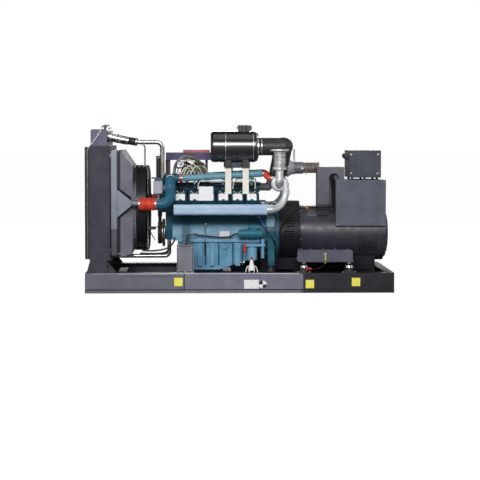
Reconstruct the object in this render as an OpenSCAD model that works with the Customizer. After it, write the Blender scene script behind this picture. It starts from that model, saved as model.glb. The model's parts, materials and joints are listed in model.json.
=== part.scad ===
// Gas engine generator set on a skid base.
// Origin: middle of the base, on the floor. +X runs from the radiator to the
// alternator, -Y is the side with the junction box, +Z is up. Millimetres.

/* [Skid base] */
// Length of the skid base
base_len = 3260; // [3240:5:3300]
// Width over the two side rails
base_w = 1300; // [1290:5:1320]
// Height of the side rails
rail_h = 210; // [206:1:216]
// Width of a rail's flanges
rail_flange = 132; // [128:1:138]
// Thickness of the rail plates
rail_t = 10; // [8:1:12]
// How far the outer strips stand proud of the web
rail_proud = 8; // [6:1:10]
// Height of the foot strip along the bottom of a rail
foot_strip_h = 36; // [30:1:40]
// Height of the lip along the top of a rail
lip_h = 28; // [24:1:32]
// Radius of the anchor holes in the bottom flanges
anchor_r = 11; // [9:0.5:13]
// Distance of the anchor holes from the base's ends
anchor_inset = 180; // [160:5:200]
// Distance of the anchor holes from the base's sides
anchor_edge = 60; // [54:1:66]
// Height of the cross members
cross_h = 160; // [150:1:165]
// Width of the cross members
cross_w = 90; // [80:1:100]

/* [Radiator] */
// Height of the radiator feet
foot_h = 135; // [130:1:140]
// Depth of the radiator frame along the set
frame_d = 214; // [206:1:220]
// How far the radiator frame stands in from the base's sides
frame_inset = 15; // [12:0.5:19]
// Height of the radiator frame
frame_h = 1205; // [1195:1:1215]
// Wall of the radiator frame's channels
frame_t = 60; // [52:1:66]
// Height of the radiator frame's bottom rail
frame_bottom_h = 105; // [98:1:112]
// Height of the radiator frame's top rail
frame_top_h = 52; // [48:1:58]
// Depth of the guard in front of the core
guard_d = 48; // [42:1:54]
// How far the front guard stands in from the frame's sides
guard_inset = 17; // [13:1:22]
// Pitch of the front guard's upright bars
guard_pitch = 50; // [44:1:60]
// Thickness of a guard bar
guard_bar = 6; // [5:0.5:8]
// Depth of the header tank along the set
tank_d = 170; // [160:1:180]
// Height of the header tank
tank_h = 172; // [165:1:180]
// Width over the header tank
tank_w = 1040; // [1000:5:1060]
// Edge radius of the header tank
tank_edge = 22; // [16:1:30]
// Radius of the filler neck
filler_r = 22; // [19:1:25]
// Radius of the overflow tube
overflow_r = 5; // [4:0.5:5.5]
// Depth of the charge air cooler behind the radiator
cooler_d = 68; // [60:1:76]
// Height of the charge air cooler
cooler_h = 1098; // [1080:2:1104]
// Width of one side tank of the charge air cooler
cooler_tank_w = 50; // [44:1:56]
// Reach of the triangular outlet behind its side tank
outlet_reach = 142; // [130:1:150]
// Height of the triangular outlet at its side tank
outlet_h = 289; // [270:1:300]
// Height of the triangular outlet at its pipe
outlet_neck_h = 56; // [52:1:62]

/* [Fan] */
// Height of the fan's axis above the floor
fan_z = 871; // [868:1:874]
// Radius of the fan's tips
fan_r = 440; // [425:1:444]
// Number of fan blades
fan_blades = 8; // [6:1:9]
// Pitch angle of a blade at its root
blade_pitch = 42; // [36:1:46]
// Twist of a blade from root to tip
blade_twist = 16; // [10:1:20]
// Radius of the fan's hub
hub_r = 95; // [88:1:102]
// Inner radius of the shroud's ring
shroud_r = 456; // [452:1:460]
// Wall of the shroud
shroud_t = 4; // [3:0.5:5]
// Depth of the shroud from the cooler to the ring
shroud_d = 116; // [108:1:122]
// Length of the rear fan guard
cage_d = 134; // [128:1:138]
// Number of bent rods in the rear fan guard
cage_rods = 24; // [18:1:28]
// Pitch of the rings across the rear fan guard
cage_pitch = 52; // [46:1:60]
// Radius of the fan's shaft
shaft_r = 30; // [26:1:32]
// Running clearance of the shafts in their bearings
bearing_gap = 0.05; // [0.03:0.01:0.08]
// Radius of the fan's pulley
fan_pulley_r = 92; // [84:1:96]
// Radius of the crank pulley that drives the fan
crank_pulley_r = 112; // [104:1:118]
// Radius of the damper on the crankshaft
damper_r = 150; // [140:1:158]
// Width of the fan's belts
belt_w = 32; // [26:1:34]
// Thickness of the fan's belts
belt_t = 10; // [8:0.5:12]

/* [Engine] */
// Height of the crankshaft's axis above the floor
crank_z = 596; // [594:1:598]
// Angle of a cylinder bank from upright
bank_angle = 45; // [44:0.5:46]
// Distance between two cylinders of a bank
bore_pitch = 152.2; // [151:0.1:154]
// Number of cylinders in a bank
bank_count = 6; // [6:1:6]
// How far the far bank sits behind the near bank
bank_offset = 40; // [34:1:44]
// Distance from the crankshaft to the deck of a bank
deck_h = 380; // [378:1:384]
// Height of a cylinder head
head_h = 120; // [114:1:124]
// Width of a cylinder head across the bank
head_w = 190; // [184:1:194]
// Gap between two cylinder heads
head_gap = 10; // [8:1:14]
// Height of a rocker cover
cover_h = 88; // [82:1:92]
// Length of the crankcase
block_len = 965; // [962:1:972]
// Half width of the crankcase at the oil pan
skirt_y = 210; // [206:1:214]
// Depth of the timing cover
timing_d = 75; // [70:1:80]
// Height of the oil pan's floor above the skid's floor
pan_z = 205; // [200:1:210]
// Half width of the oil pan
pan_y = 196; // [190:1:200]
// Depth of the grooves between the oil pan's ribs
groove_d = 10; // [8:1:12]
// Radius of the flywheel housing
flywheel_r = 330; // [324:1:334]
// Length of the flywheel housing
flywheel_d = 182; // [178:1:186]

/* [Exhaust and charge air] */
// Height of an exhaust manifold's jacket
manifold_h = 112; // [106:1:116]
// Depth of an exhaust manifold's jacket
manifold_d = 104; // [98:1:108]
// Distance of an exhaust manifold from the set's middle
manifold_y = 540; // [536:1:544]
// Radius of the pipe from a manifold to its turbine
riser_r = 38; // [35:1:40]
// Radius of a turbine's volute
volute_r = 104; // [100:1:108]
// Height of the turbochargers' axis
turbo_z = 1139; // [1136:1:1142]
// Distance of a turbine's middle from the set's middle
turbine_y = 430; // [427:1:433]
// Radius of the exhaust pipe
exhaust_r = 44; // [41:1:45]
// Inner radius of the exhaust outlet
exhaust_bore_r = 40; // [37:0.5:40]
// Radius of the bellows over its folds
bellows_r = 65; // [62:1:68]
// Number of folds in a bellows
bellows_folds = 12; // [9:1:14]
// Radius of the exhaust outlet flange
flange_r = 101; // [98:1:104]
// Thickness of the exhaust outlet flange
flange_t = 16; // [14:1:18]
// Pitch circle of the exhaust outlet flange's holes
flange_pcd = 166; // [162:1:170]
// Number of holes in the exhaust outlet flange
flange_holes = 8; // [6:1:8]
// Radius of the holes in the exhaust outlet flange
flange_hole_r = 9; // [8:0.5:10]
// Radius of the intake elbows
elbow_r = 56; // [52:1:57]
// Radius of the red hoses over their ribs
hose_r = 70; // [67:1:72]
// Radius of the charge pipe along a bank
charge_r = 35; // [32:1:37]
// Radius of an air filter
filter_r = 168; // [164:1:170]
// Length of an air filter
filter_len = 500; // [490:1:510]
// Height of the air filters' axis
filter_z = 1539; // [1535:1:1543]
// Distance of an air filter from the set's middle
filter_y = 250; // [247:1:253]
// Radius of the air duct behind a filter
duct_r = 95; // [90:1:98]

/* [Alternator] */
// Radius of the alternator's body
alt_r = 302; // [298:1:304]
// Length of the alternator's body
alt_len = 915; // [905:1:918]
// Length of the adaptor between engine and alternator
adaptor_d = 233; // [228:1:236]
// Depth of the end bell
bell_d = 44; // [40:1:46]
// Height of the alternator's mounting feet
alt_foot_h = 123; // [118:1:126]
// Length of the alternator's mounting feet
alt_foot_len = 588; // [575:1:600]
// Radius of a rubber mount
mount_r = 50; // [46:1:54]
// Length of the terminal box
tbox_len = 540; // [530:1:545]
// Half width of the terminal box
tbox_y = 332; // [326:1:336]
// Height of the terminal box's lower edge
tbox_z = 685; // [680:1:690]
// Height of the terminal box's top
tbox_top = 1180; // [1176:1:1184]
// Length of the breaker box on top
bbox_len = 346; // [340:1:350]
// Height of the breaker box
bbox_h = 294; // [288:1:300]
// Height of the rubber feet under the breaker box
bbox_feet = 23; // [20:1:26]
// Length of the cable cabinet
cab_len = 292; // [286:1:296]
// Height of the cable cabinet's top
cab_top = 1319; // [1312:1:1326]
// Width of the arched recess in the cable cabinet
arch_w = 108; // [100:1:116]
// Gap between the cable cabinet and the breaker box
cab_gap = 51; // [50:0.5:56]

/* [Auxiliaries] */
// Length of the junction box on the rail
jbox_len = 177; // [172:1:180]
// Height of the junction box on the rail
jbox_h = 286; // [280:1:292]
// Depth of the junction box on the rail
jbox_d = 100; // [92:1:106]
// Radius of the starter motor
starter_r = 50; // [47:1:52]
// Radius of the large oil filter
oil_filter_r = 55; // [52:1:57]
// Radius of the battery cables
cable_r = 7; // [6:0.5:9]

/* [Hidden] */
$fn = 64;
// Gap at a seat between two pieces
seat = 0.3;

// Positions along the set, from the radiator's end
base_x0 = -base_len / 2;
guard_x0 = base_x0 + 2;
frame_x0 = guard_x0 + guard_d;
frame_x1 = frame_x0 + frame_d;
cooler_x0 = frame_x1 + 10;
cooler_x1 = cooler_x0 + cooler_d;
shroud_x0 = cooler_x1 + 32;
shroud_x1 = shroud_x0 + shroud_d;
ring_x1 = shroud_x1 + 40;
cage_x1 = ring_x1 + cage_d;
timing_x0 = base_x0 + 840;
block_x0 = timing_x0 + timing_d;
block_x1 = block_x0 + block_len;
first_bore_x = block_x0 + 87;
adaptor_x0 = block_x1 + flywheel_d;
alt_x0 = adaptor_x0 + adaptor_d;
alt_x1 = alt_x0 + alt_len;
belt_x1 = timing_x0 - 50;
belt_x0 = belt_x1 - belt_w;
turbo_x = block_x1 + 174;
tbox_x0 = alt_x1 - tbox_len + 2;
bbox_x0 = tbox_x0 + 150;
cab_x0 = bbox_x0 - cab_gap - cab_len;

// Widths and heights of the main seats
frame_w = base_w - 2 * frame_inset;
guard_w = frame_w - 2 * guard_inset;
rail_web_y = base_w / 2 - rail_proud - rail_t;
cross_top = rail_t + cross_h;
frame_z0 = rail_h + foot_h;
frame_z1 = frame_z0 + frame_h;
tank_z1 = frame_z1 + tank_h;
cooler_z0 = frame_z0 + 56;
cooler_y = frame_w / 2 - 3;
outlet_depth = 110;
outlet_y = 3 + outlet_depth / 2 - cooler_y;
outlet_z = 944;
block_z0 = crank_z - 74;
alt_mount_x = [alt_x0 + 13, alt_x0 + 489];
cross_x = [frame_x1 + 100, block_x0 + 145, block_x0 + 595, block_x1 + 90,
    alt_mount_x[0], alt_mount_x[1]];

// Intake, coolant and hose positions
comp_y = 90;
hose_y = 545;
red_hose_x0 = cooler_x1 + 215;
red_hose_x1 = red_hose_x0 + 196;
hose_z = 933;
elbow_x = timing_x0 + 55;
upper_leg_z = 1180;
manifold_z = crank_z + 278;
coolant_y = 300;
coolant_x = timing_x0 - 33;
charge_front = [block_x0 + 112, -coolant_y, turbo_z + 60];
charge_rear = [block_x1, -coolant_y, turbo_z + 110];
comp_out = [turbo_x - 84, comp_y - turbine_y, turbo_z + 62];
coupling_l = 36;

// Across the set: a point of the near bank, across and along its bores
function bank_pt(across, along) = [
    across * cos(bank_angle) - along * sin(bank_angle),
    crank_z + across * sin(bank_angle) + along * cos(bank_angle)];

module both_sides() {
    children();
    mirror([0, 1, 0]) children();
}

// Both sides, with the far one moved by the offset of its bank
module both_banks() {
    children();
    translate([bank_offset, 0, 0]) mirror([0, 1, 0]) children();
}

// The near bank's own frame: X along the set, Z along the bores
module bank_frame() {
    translate([0, 0, crank_z]) rotate([bank_angle, 0, 0]) children();
}

module xcyl(r, l) {
    rotate([0, 90, 0]) cylinder(r=r, h=l);
}

module ycyl(r, l) {
    rotate([-90, 0, 0]) cylinder(r=r, h=l);
}

// A profile in Y and Z, drawn out along +X
module along_x(l) {
    rotate([90, 0, 90]) linear_extrude(l) children();
}

// A profile in X and Z, drawn out both ways along Y
module along_y(l) {
    rotate([90, 0, 0]) linear_extrude(l, center=true) children();
}

// A profile of X and radius, turned about the X axis
module turned_x() {
    rotate([0, 90, 0]) rotate_extrude() rotate([0, 0, 90]) mirror([0, 1]) children();
}

// A quarter bend that starts along +X and turns up to +Z
module bend(bend_r, r, a=90) {
    rotate([90, 0, 0]) translate([0, bend_r, 0]) rotate([0, 0, -90])
        rotate_extrude(angle=a) translate([bend_r, 0]) circle(r=r);
}

module rod(a, b, r) {
    d = b - a;
    translate(a) rotate([0, acos(d.z / norm(d)), atan2(d.y, d.x)])
        cylinder(r=r, h=norm(d));
}

// A run of straight rods with a ball at each turn
module run(points, r) {
    for (i = [1:len(points) - 1]) rod(points[i - 1], points[i], r);
    for (i = [1:1:len(points) - 2]) translate(points[i]) sphere(r=r * 1.06);
}

function unit(v) = v / norm(v);

// Direction of a route at one of its points
function heading(p, i) = unit(
    (i > 0 ? unit(p[i] - p[i - 1]) : [0, 0, 0]) +
    (i < len(p) - 1 ? unit(p[i + 1] - p[i]) : [0, 0, 0]));

// Faces of a closed tube made of rings of points
function tube_faces(rings, sides) = concat(
    [[for (j = [sides - 1:-1:0]) j]],
    [for (i = [0:rings - 2], j = [0:sides - 1]) let (k = (j + 1) % sides)
        [i * sides + j, i * sides + k, (i + 1) * sides + k, (i + 1) * sides + j]],
    [[for (j = [0:sides - 1]) (rings - 1) * sides + j]]);

// Side of a route's cross-section, turned no more than the route itself
function side_of(p, i) = i == 0 ? unit(cross(heading(p, 0), [0.31, 0.87, 0.38]))
    : let (t = heading(p, i), u = side_of(p, i - 1)) unit(u - (u * t) * t);

// A cable or thin tube along a route
module swept(route, r, sides=10) {
    polyhedron(
        points=[for (i = [0:len(route) - 1])
            let (t = heading(route, i), u = side_of(route, i), v = cross(u, t))
            for (j = [0:sides - 1]) let (a = 360 * j / sides)
                route[i] + r * (cos(a) * u + sin(a) * v)],
        faces=tube_faces(len(route), sides));
}

// A rectangle with round corners, from its lower left corner
module round_rect(w, h, r) {
    translate([r, 0]) square([w - 2 * r, h]);
    translate([0, r]) square([w, h - 2 * r]);
    for (x = [r, w - r], y = [r, h - r]) translate([x, y]) circle(r=r);
}

// A rectangle whose two upper corners are round
module arched_rect(w, h, r) {
    translate([r, 0]) square([w - 2 * r, h]);
    square([w, h - r]);
    for (x = [r, w - r]) translate([x, h - r]) circle(r=r);
}

module side_rail() {
    inner = base_len - 2 * (cross_w + seat);
    // The lip ends where the middle web plate does
    panel_x0 = base_x0 + 1047;
    panel_len = 1255;
    lip_x0 = panel_x0 - 624;
    difference() {
        union() {
            translate([base_x0, -rail_web_y - rail_t, 0])
                cube([base_len, rail_t, rail_h]);
            for (z = [0, rail_h - rail_t])
                translate([-inner / 2, -rail_web_y - rail_t, z])
                    cube([inner, rail_flange - rail_proud, rail_t]);
            translate([base_x0, -base_w / 2, 0])
                cube([base_len, rail_proud, foot_strip_h]);
            translate([lip_x0, -base_w / 2, rail_h - lip_h])
                cube([panel_x0 - lip_x0, rail_proud, lip_h]);
            translate([panel_x0, rail_proud / 2 - base_w / 2, foot_strip_h])
                along_y(rail_proud) arched_rect(panel_len, rail_h - foot_strip_h, 40);
        }
        for (x = [-1, 1])
            translate([x * (base_len / 2 - anchor_inset), anchor_edge - base_w / 2, -1])
                cylinder(r=anchor_r, h=rail_t + 2);
    }
}

module side_rail_near() {
    color("#4d4b57") side_rail();
}

module side_rail_far() {
    color("#4d4b57") mirror([0, 1, 0]) side_rail();
}

module channel_section(w, h, t) {
    square([t, h]);
    square([w, t]);
    translate([0, h - t]) square([w, t]);
}

module cross_members() {
    color("#3a3942") {
        for (side = [0, 1]) mirror([side, 0, 0]) translate([base_x0, 0, 0])
            along_y(2 * rail_web_y) channel_section(cross_w, rail_h, rail_t);
        for (x = cross_x) translate([x - cross_w / 2, 0, rail_t])
            along_y(2 * rail_web_y) channel_section(cross_w, cross_h, rail_t);
    }
}

// Radiator
module radiator_feet() {
    foot_w = 72;
    plate_t = 12;
    x0 = frame_x0 - 30;
    x1 = frame_x1 + 64;
    color("#3c3c44") both_sides() translate([0, -frame_w / 2 + foot_w / 2, 0]) {
        translate([0, 0, rail_h]) along_y(foot_w) {
            polygon([[x0, 0], [frame_x1 - 31, 0], [frame_x1 - 31, foot_h],
                [frame_x0 + 4, foot_h], [x0, plate_t]]);
            square_from(x0, 0, x1, plate_t);
        }
        translate([0, 0, rail_h]) along_y(plate_t)
            polygon([[frame_x1 - 31, 0], [x1, 0], [x1, plate_t], [frame_x1 - 31, foot_h - plate_t]]);
    }
}

module square_from(xa, ya, xb, yb) {
    translate([xa, ya]) square([xb - xa, yb - ya]);
}

module radiator_frame() {
    tray_w = 0.756 * frame_w;
    color("#3a3a42") difference() {
        union() {
            translate([frame_x0, -frame_w / 2, frame_z0]) cube([frame_d, frame_w, frame_h]);
            translate([frame_x0 + 30, -tray_w / 2, frame_z0 - 26])
                cube([frame_d - 30, tray_w, 30]);
        }
        translate([frame_x0 - 1, -frame_w / 2 + frame_t, frame_z0 + frame_bottom_h])
            cube([frame_d + 2, frame_w - 2 * frame_t, frame_h - frame_bottom_h - frame_top_h]);
        // The folded side channels are hollow on their outer face
        both_sides() translate([frame_x0 + 16, -frame_w / 2 - 1, frame_z0 + 30])
            cube([frame_d - 32, 5, frame_h - 60]);
    }
}

module radiator_core() {
    core_w = frame_w - 2 * frame_t - 2 * seat;
    core_h = frame_h - frame_bottom_h - frame_top_h - 2 * seat;
    rows = 6;
    color("#6f6a60") translate([frame_x0 + 16, -core_w / 2, frame_z0 + frame_bottom_h + seat]) {
        for (i = [0:rows - 1]) translate([0, i * core_w / rows, 0])
            cube([frame_d - 32, core_w / rows - 8, core_h]);
        translate([14, 0, 0]) cube([frame_d - 60, core_w, core_h]);
    }
}

module front_guard() {
    guard_z0 = frame_z0 + 14;
    guard_z1 = frame_z1 - 12;
    guard_h = guard_z1 - guard_z0;
    bars = floor(guard_w / guard_pitch);
    color("#26262b") {
        difference() {
            translate([guard_x0, -guard_w / 2, guard_z0]) cube([guard_d, guard_w, guard_h]);
            translate([guard_x0 - 1, -guard_w / 2 + guard_bar, guard_z0 + guard_bar])
                cube([guard_d + 2, guard_w - 2 * guard_bar, guard_h - 2 * guard_bar]);
        }
        for (i = [1:bars - 1])
            translate([guard_x0, i * guard_w / bars - guard_w / 2 - guard_bar / 2, guard_z0 + 1])
                cube([guard_bar, guard_bar, guard_h - 2]);
        for (i = [1:7])
            translate([guard_x0 + guard_bar / 2, 1 - guard_w / 2, guard_z0 + i * guard_h / 8])
                cube([guard_bar, guard_w - 2, guard_bar]);
    }
}

module header_tank() {
    x0 = frame_x0 + 8;
    color("#5f5f69") {
        translate([x0, 0, frame_z1]) along_y(tank_w) {
            square([tank_d, tank_h / 2]);
            round_rect(tank_d, tank_h, tank_edge);
        }
        // Seam of the two pressed end caps
        both_sides() translate([x0 - 2, -tank_w / 2 + 24, frame_z1 + 4])
            along_y(8) round_rect(tank_d + 4, tank_h - 2, tank_edge);
    }
}

filler_x = frame_x0 + 141;
filler_y = -350;

module filler_cap() {
    neck_h = 24;
    cap_r = filler_r + 6;
    cap_h = 22;
    color("#2e2f33") translate([filler_x, filler_y, tank_z1]) {
        cylinder(r=filler_r, h=neck_h);
        translate([0, 0, neck_h - 4]) cylinder(r=cap_r, h=cap_h - 8);
        translate([0, 0, neck_h - 4 + cap_h - 8]) cylinder(r=cap_r - 7, h=8);
        for (a = [0, 180]) rotate([0, 0, a]) translate([cap_r - 4, -9, neck_h])
            cube([12, 18, 8]);
    }
}

module overflow_tube() {
    tube_y = -frame_w / 2 - 1 - overflow_r;
    tube_x = frame_x0 - 17;
    z = tank_z1 + 11;
    color("#c9cbd0") {
        swept([[filler_x, filler_y - filler_r - seat, z], [filler_x, -540, z],
            [filler_x, -frame_w / 2 + 60, z - 2], [filler_x - 3, -frame_w / 2 + 20, z - 6],
            [filler_x - 12, tube_y, z - 20], [tube_x + 8, tube_y, frame_z1 - 30],
            [tube_x, tube_y, frame_z1 - 50], [tube_x, tube_y, frame_z0 + 27]], overflow_r, 12);
        // Clips to the front guard
        for (dz = [100, frame_h / 2, frame_h - 100])
            translate([tube_x - 4, tube_y + 1, frame_z0 + dz])
                cube([8, -guard_w / 2 - seat - tube_y - 1, 14]);
    }
}

module charge_cooler() {
    core_y = cooler_y - cooler_tank_w - seat;
    color("#8b8f96") {
        translate([cooler_x0 + 6, -core_y, cooler_z0]) cube([cooler_d - 12, 2 * core_y, cooler_h]);
        for (z = [0, cooler_h - 20])
            translate([cooler_x0, -core_y, cooler_z0 + z]) cube([cooler_d, 2 * core_y, 20]);
    }
}

module cooler_tanks() {
    lug_h = 40;
    color("#a9b2bf") both_sides() {
        translate([cooler_x0, -cooler_y, cooler_z0]) linear_extrude(cooler_h)
            round_rect(cooler_d, cooler_tank_w, 14);
        for (z = [30, cooler_h - 30 - lug_h])
            translate([frame_x1, -cooler_y + 8, cooler_z0 + z])
                cube([cooler_x0 - frame_x1 + 20, 30, lug_h]);
        // Tapered outlet from the side tank to the charge pipe
        translate([cooler_x1, outlet_y, 0]) along_y(outlet_depth)
            polygon([[0, outlet_z - outlet_h / 2],
                [outlet_reach, outlet_z - outlet_neck_h / 2],
                [outlet_reach, outlet_z + outlet_neck_h / 2],
                [0, outlet_z + outlet_h / 2]]);
        translate([cooler_x1 + outlet_reach - 1, outlet_y, outlet_z])
            xcyl(outlet_neck_h / 2 - 4, red_hose_x0 - cooler_x1 - outlet_reach + 1 - seat);
    }
}

// Fan and its drive
module shroud_shell(grow, over) {
    wide = 590 - grow;
    tight = shroud_r + 14 - grow;
    hull() {
        translate([shroud_x0 - over, -wide, cooler_z0 - 20 + grow])
            cube([0.01, 2 * wide, cooler_h + 22 - 2 * grow]);
        translate([shroud_x1 + over - 0.01, -tight, fan_z - tight])
            cube([0.01, 2 * tight, 2 * tight]);
    }
}

module fan_shroud() {
    collar_w = 560;
    notch = 22;
    notch_x = cooler_x1 - 4;
    notch_len = shroud_x1 - notch_x;
    color("#8c8c93") difference() {
        union() {
            difference() {
                shroud_shell(0, 0);
                shroud_shell(shroud_t, 1);
            }
            // Collar that leads the air out of the cooler
            difference() {
                translate([cooler_x1 + seat, -collar_w, cooler_z0 + 12])
                    cube([shroud_x0 - cooler_x1 + 6, 2 * collar_w, cooler_h - 44]);
                translate([cooler_x1 - 1, -collar_w + shroud_t, cooler_z0 + 12 + shroud_t])
                    cube([shroud_x0 - cooler_x1 + 20, 2 * (collar_w - shroud_t),
                        cooler_h - 44 - 2 * shroud_t]);
            }
            // Rim that ties the collar to the slanted walls
            difference() {
                translate([shroud_x0, -590, cooler_z0 - 20]) cube([shroud_t, 1180, cooler_h + 22]);
                translate([shroud_x0 - 1, -collar_w + 2, cooler_z0 + 14])
                    cube([shroud_t + 2, 2 * collar_w - 4, cooler_h - 48]);
            }
            translate([shroud_x1 - 1, 0, fan_z]) difference() {
                translate([0, -shroud_r - 14, -shroud_r - 14])
                    cube([shroud_t + 1, 2 * (shroud_r + 14), 2 * (shroud_r + 14)]);
                translate([-1, 0, 0]) xcyl(shroud_r, shroud_t + 3);
            }
            translate([shroud_x1, 0, fan_z]) difference() {
                xcyl(shroud_r + shroud_t, ring_x1 - shroud_x1);
                translate([-1, 0, 0]) xcyl(shroud_r, ring_x1 - shroud_x1 + 2);
            }
        }
        // Notch around the cooler's outlet on each side
        both_sides() translate([notch_x, -600, 0]) along_y(250)
            polygon([[0, outlet_z - outlet_h / 2 - notch - 14],
                [notch_len - 2, outlet_z - outlet_neck_h / 2 - notch],
                [notch_len - 2, outlet_z + outlet_neck_h / 2 + notch],
                [0, outlet_z + outlet_h / 2 + notch + 14]]);
    }
}

guard_rod = 5;

module cage_ring(r, x) {
    translate([x, 0, 0]) difference() {
        xcyl(r, guard_rod);
        translate([-1, 0, 0]) xcyl(r - guard_rod, guard_rod + 2);
    }
}

module fan_guard() {
    eye_r = 82;
    out_r = shroud_r + shroud_t + seat + guard_rod;
    start_x = ring_x1 - 24;
    rings = floor((out_r - 30 - eye_r) / cage_pitch);
    color("#141416") translate([0, 0, fan_z]) {
        for (i = [0:cage_rods - 1]) rotate([i * 360 / cage_rods, 0, 0])
            along_y(guard_rod) {
                polygon([[start_x, out_r - guard_rod], [start_x, out_r],
                    [cage_x1 - 22, out_r], [cage_x1, out_r - 26], [cage_x1, eye_r - 3],
                    [cage_x1 - guard_rod, eye_r - 3], [cage_x1 - guard_rod, out_r - 28],
                    [cage_x1 - 24, out_r - guard_rod]]);
            }
        for (i = [0:rings]) cage_ring(eye_r + i * cage_pitch, cage_x1 - guard_rod - 3);
        for (x = [start_x, ring_x1 + 22, ring_x1 + 66, cage_x1 - 36])
            cage_ring(out_r, x);
    }
}

fan_x = ring_x1 + 20;

module fan_blade() {
    chord = 122;
    thick = 7;
    rotate([0, 0, 90 - blade_pitch])
        linear_extrude(height=fan_r - hub_r + 6, twist=blade_twist, slices=8, $fn=12)
            polygon([for (i = [0:13]) let (t = i / 14 * 360)
                [chord / 2 * cos(t), thick / 2 * sin(t) + 9 * (1 - pow(cos(t), 2))]]);
}

module fan() {
    hub_d = 76;
    color("#1c1c1e") translate([fan_x, 0, fan_z]) {
        difference() {
            translate([-hub_d / 2, 0, 0]) xcyl(hub_r, hub_d);
            translate([-hub_d / 2 - 1, 0, 0]) xcyl(shaft_r, hub_d + 2);
            for (a = [0:60:300]) rotate([a, 0, 0]) translate([-hub_d / 2 - 1, 0, hub_r - 30])
                xcyl(6, 12);
        }
        for (i = [0:fan_blades - 1]) rotate([i * 360 / fan_blades, 0, 0])
            translate([0, 0, hub_r - 6]) fan_blade();
    }
}

// A pulley for the belts from belt_x0, with a rim on each side
module belt_pulley(r) {
    rim = 8;
    lip = 6;
    translate([belt_x0 - 1, 0, 0]) xcyl(r, belt_w + 2);
    for (x = [belt_x0 - 1 - lip, belt_x1 + 1]) translate([x, 0, 0]) xcyl(r + rim, lip);
}

bearing_x0 = timing_x0 - 42;

module fan_shaft() {
    hub_d = 76;
    color("#7d7f84") translate([0, 0, fan_z]) {
        translate([fan_x - hub_d / 2, 0, 0]) xcyl(shaft_r, timing_x0 - 6 - fan_x + hub_d / 2);
        translate([fan_x + hub_d / 2, 0, 0]) xcyl(shaft_r + 22, 12);
        belt_pulley(fan_pulley_r);
    }
}

module crank_pulley() {
    color("#55504e") translate([0, 0, crank_z]) {
        belt_pulley(crank_pulley_r);
        translate([belt_x1, 0, 0]) xcyl(60, timing_x0 - 12 - belt_x1);
        translate([timing_x0 - 38, 0, 0]) difference() {
            xcyl(damper_r, 26);
            translate([-1, 0, 0]) difference() {
                xcyl(damper_r - 22, 8);
                translate([-1, 0, 0]) xcyl(84, 10);
            }
        }
        translate([timing_x0 - 14, 0, 0]) xcyl(shaft_r, 54);
    }
}

// Outline of the belts' loop round both pulleys, in Y and Z
function belt_loop(r1, r2, lean) = concat(
    [for (i = [0:40]) let (a = lean + (180 - 2 * lean) * i / 40)
        [r1 * cos(a), fan_z + r1 * sin(a)]],
    [for (i = [0:40]) let (a = 180 - lean + (180 + 2 * lean) * i / 40)
        [r2 * cos(a), crank_z + r2 * sin(a)]]);

module fan_belts() {
    r1 = fan_pulley_r + seat;
    r2 = crank_pulley_r + seat;
    lean = asin((r2 - r1) / (fan_z - crank_z));
    color("#101012") translate([belt_x0, 0, 0]) along_x(belt_w) difference() {
        polygon(belt_loop(r1 + belt_t, r2 + belt_t, lean));
        polygon(belt_loop(r1, r2, lean));
    }
}

// Engine
module timing_cover() {
    z0 = block_z0 + 10;
    top_z = fan_z + 60;
    color("#24505f") difference() {
        union() {
            translate([timing_x0, 0, 0]) along_x(timing_d)
                polygon([[-190, z0], [190, z0], [235, z0 + 120], [235, z0 + 260], [120, top_z],
                    [-120, top_z], [-235, z0 + 260], [-235, z0 + 120]]);
            translate([bearing_x0, 0, fan_z]) xcyl(shaft_r + 24, timing_x0 - bearing_x0 + 1);
            translate([timing_x0 - 10, 0, crank_z]) xcyl(shaft_r + 40, 11);
        }
        translate([bearing_x0 - 1, 0, fan_z]) xcyl(shaft_r + bearing_gap, 41);
        translate([timing_x0 - 12, 0, crank_z]) xcyl(shaft_r + bearing_gap, 54);
    }
}

module crankcase() {
    valley_z = crank_z + 200;
    knee_z = crank_z + 104;
    waist_z = block_z0 + 80;
    outer = bank_pt(-head_w / 2, deck_h);
    inner = bank_pt(head_w / 2, deck_h);
    half = [[skirt_y, block_z0], [skirt_y + 20, waist_z], [skirt_y + 35, knee_z],
        [-outer[0], outer[1]], [-inner[0], inner[1]], [60, valley_z]];
    rail_h_low = 16;
    color("#6f9dbd") {
        translate([block_x0, 0, 0]) along_x(block_len)
            polygon(concat(half, [for (i = [5:-1:0]) [-half[i][0], half[i][1]]]));
        translate([block_x0 + 55, -pan_y - 30, block_z0])
            cube([block_len - 75, 2 * (pan_y + 30), rail_h_low]);
        // Ribs and core plugs along both sides
        both_sides() {
            for (i = [1:bank_count - 3])
                translate([first_bore_x + (i + 0.5) * bore_pitch - 6, -skirt_y - 38, waist_z - 36])
                    cube([12, 60, 118]);
            for (i = [1:bank_count - 1])
                translate([first_bore_x + i * bore_pitch, -skirt_y - 30, waist_z + 28])
                    ycyl(26, 40);
        }
    }
}

module oil_pan() {
    x0 = block_x0 + 55;
    x1 = block_x1 - 20;
    top_z = block_z0;
    flange = 16;
    rear_z = pan_z + 215;
    color("#2e6e8e") difference() {
        union() {
            along_y(2 * pan_y) polygon([[x0, top_z], [x0, pan_z + 24], [x0 + 24, pan_z],
                [block_x0 + 503, pan_z], [block_x0 + 805, pan_z + 100],
                [block_x0 + 830, rear_z], [x1, rear_z], [x1, top_z]]);
            translate([x0, -pan_y - 30, top_z - flange])
                cube([x1 - x0, 2 * (pan_y + 30), flange]);
        }
        // Grooves between the ribs of both sides
        both_sides() for (g = [[110, 26], [205, 34], [313, 43], [400, 30], [477, 26],
            [560, 34], [630, 28], [700, 30]])
            translate([block_x0 + g[0], -pan_y - 1, pan_z - 1])
                cube([g[1], groove_d + 1, top_z - flange - 14 - pan_z]);
    }
}

module each_bore() {
    for (i = [0:bank_count - 1]) translate([first_bore_x + i * bore_pitch, 0, 0]) children();
}

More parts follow.
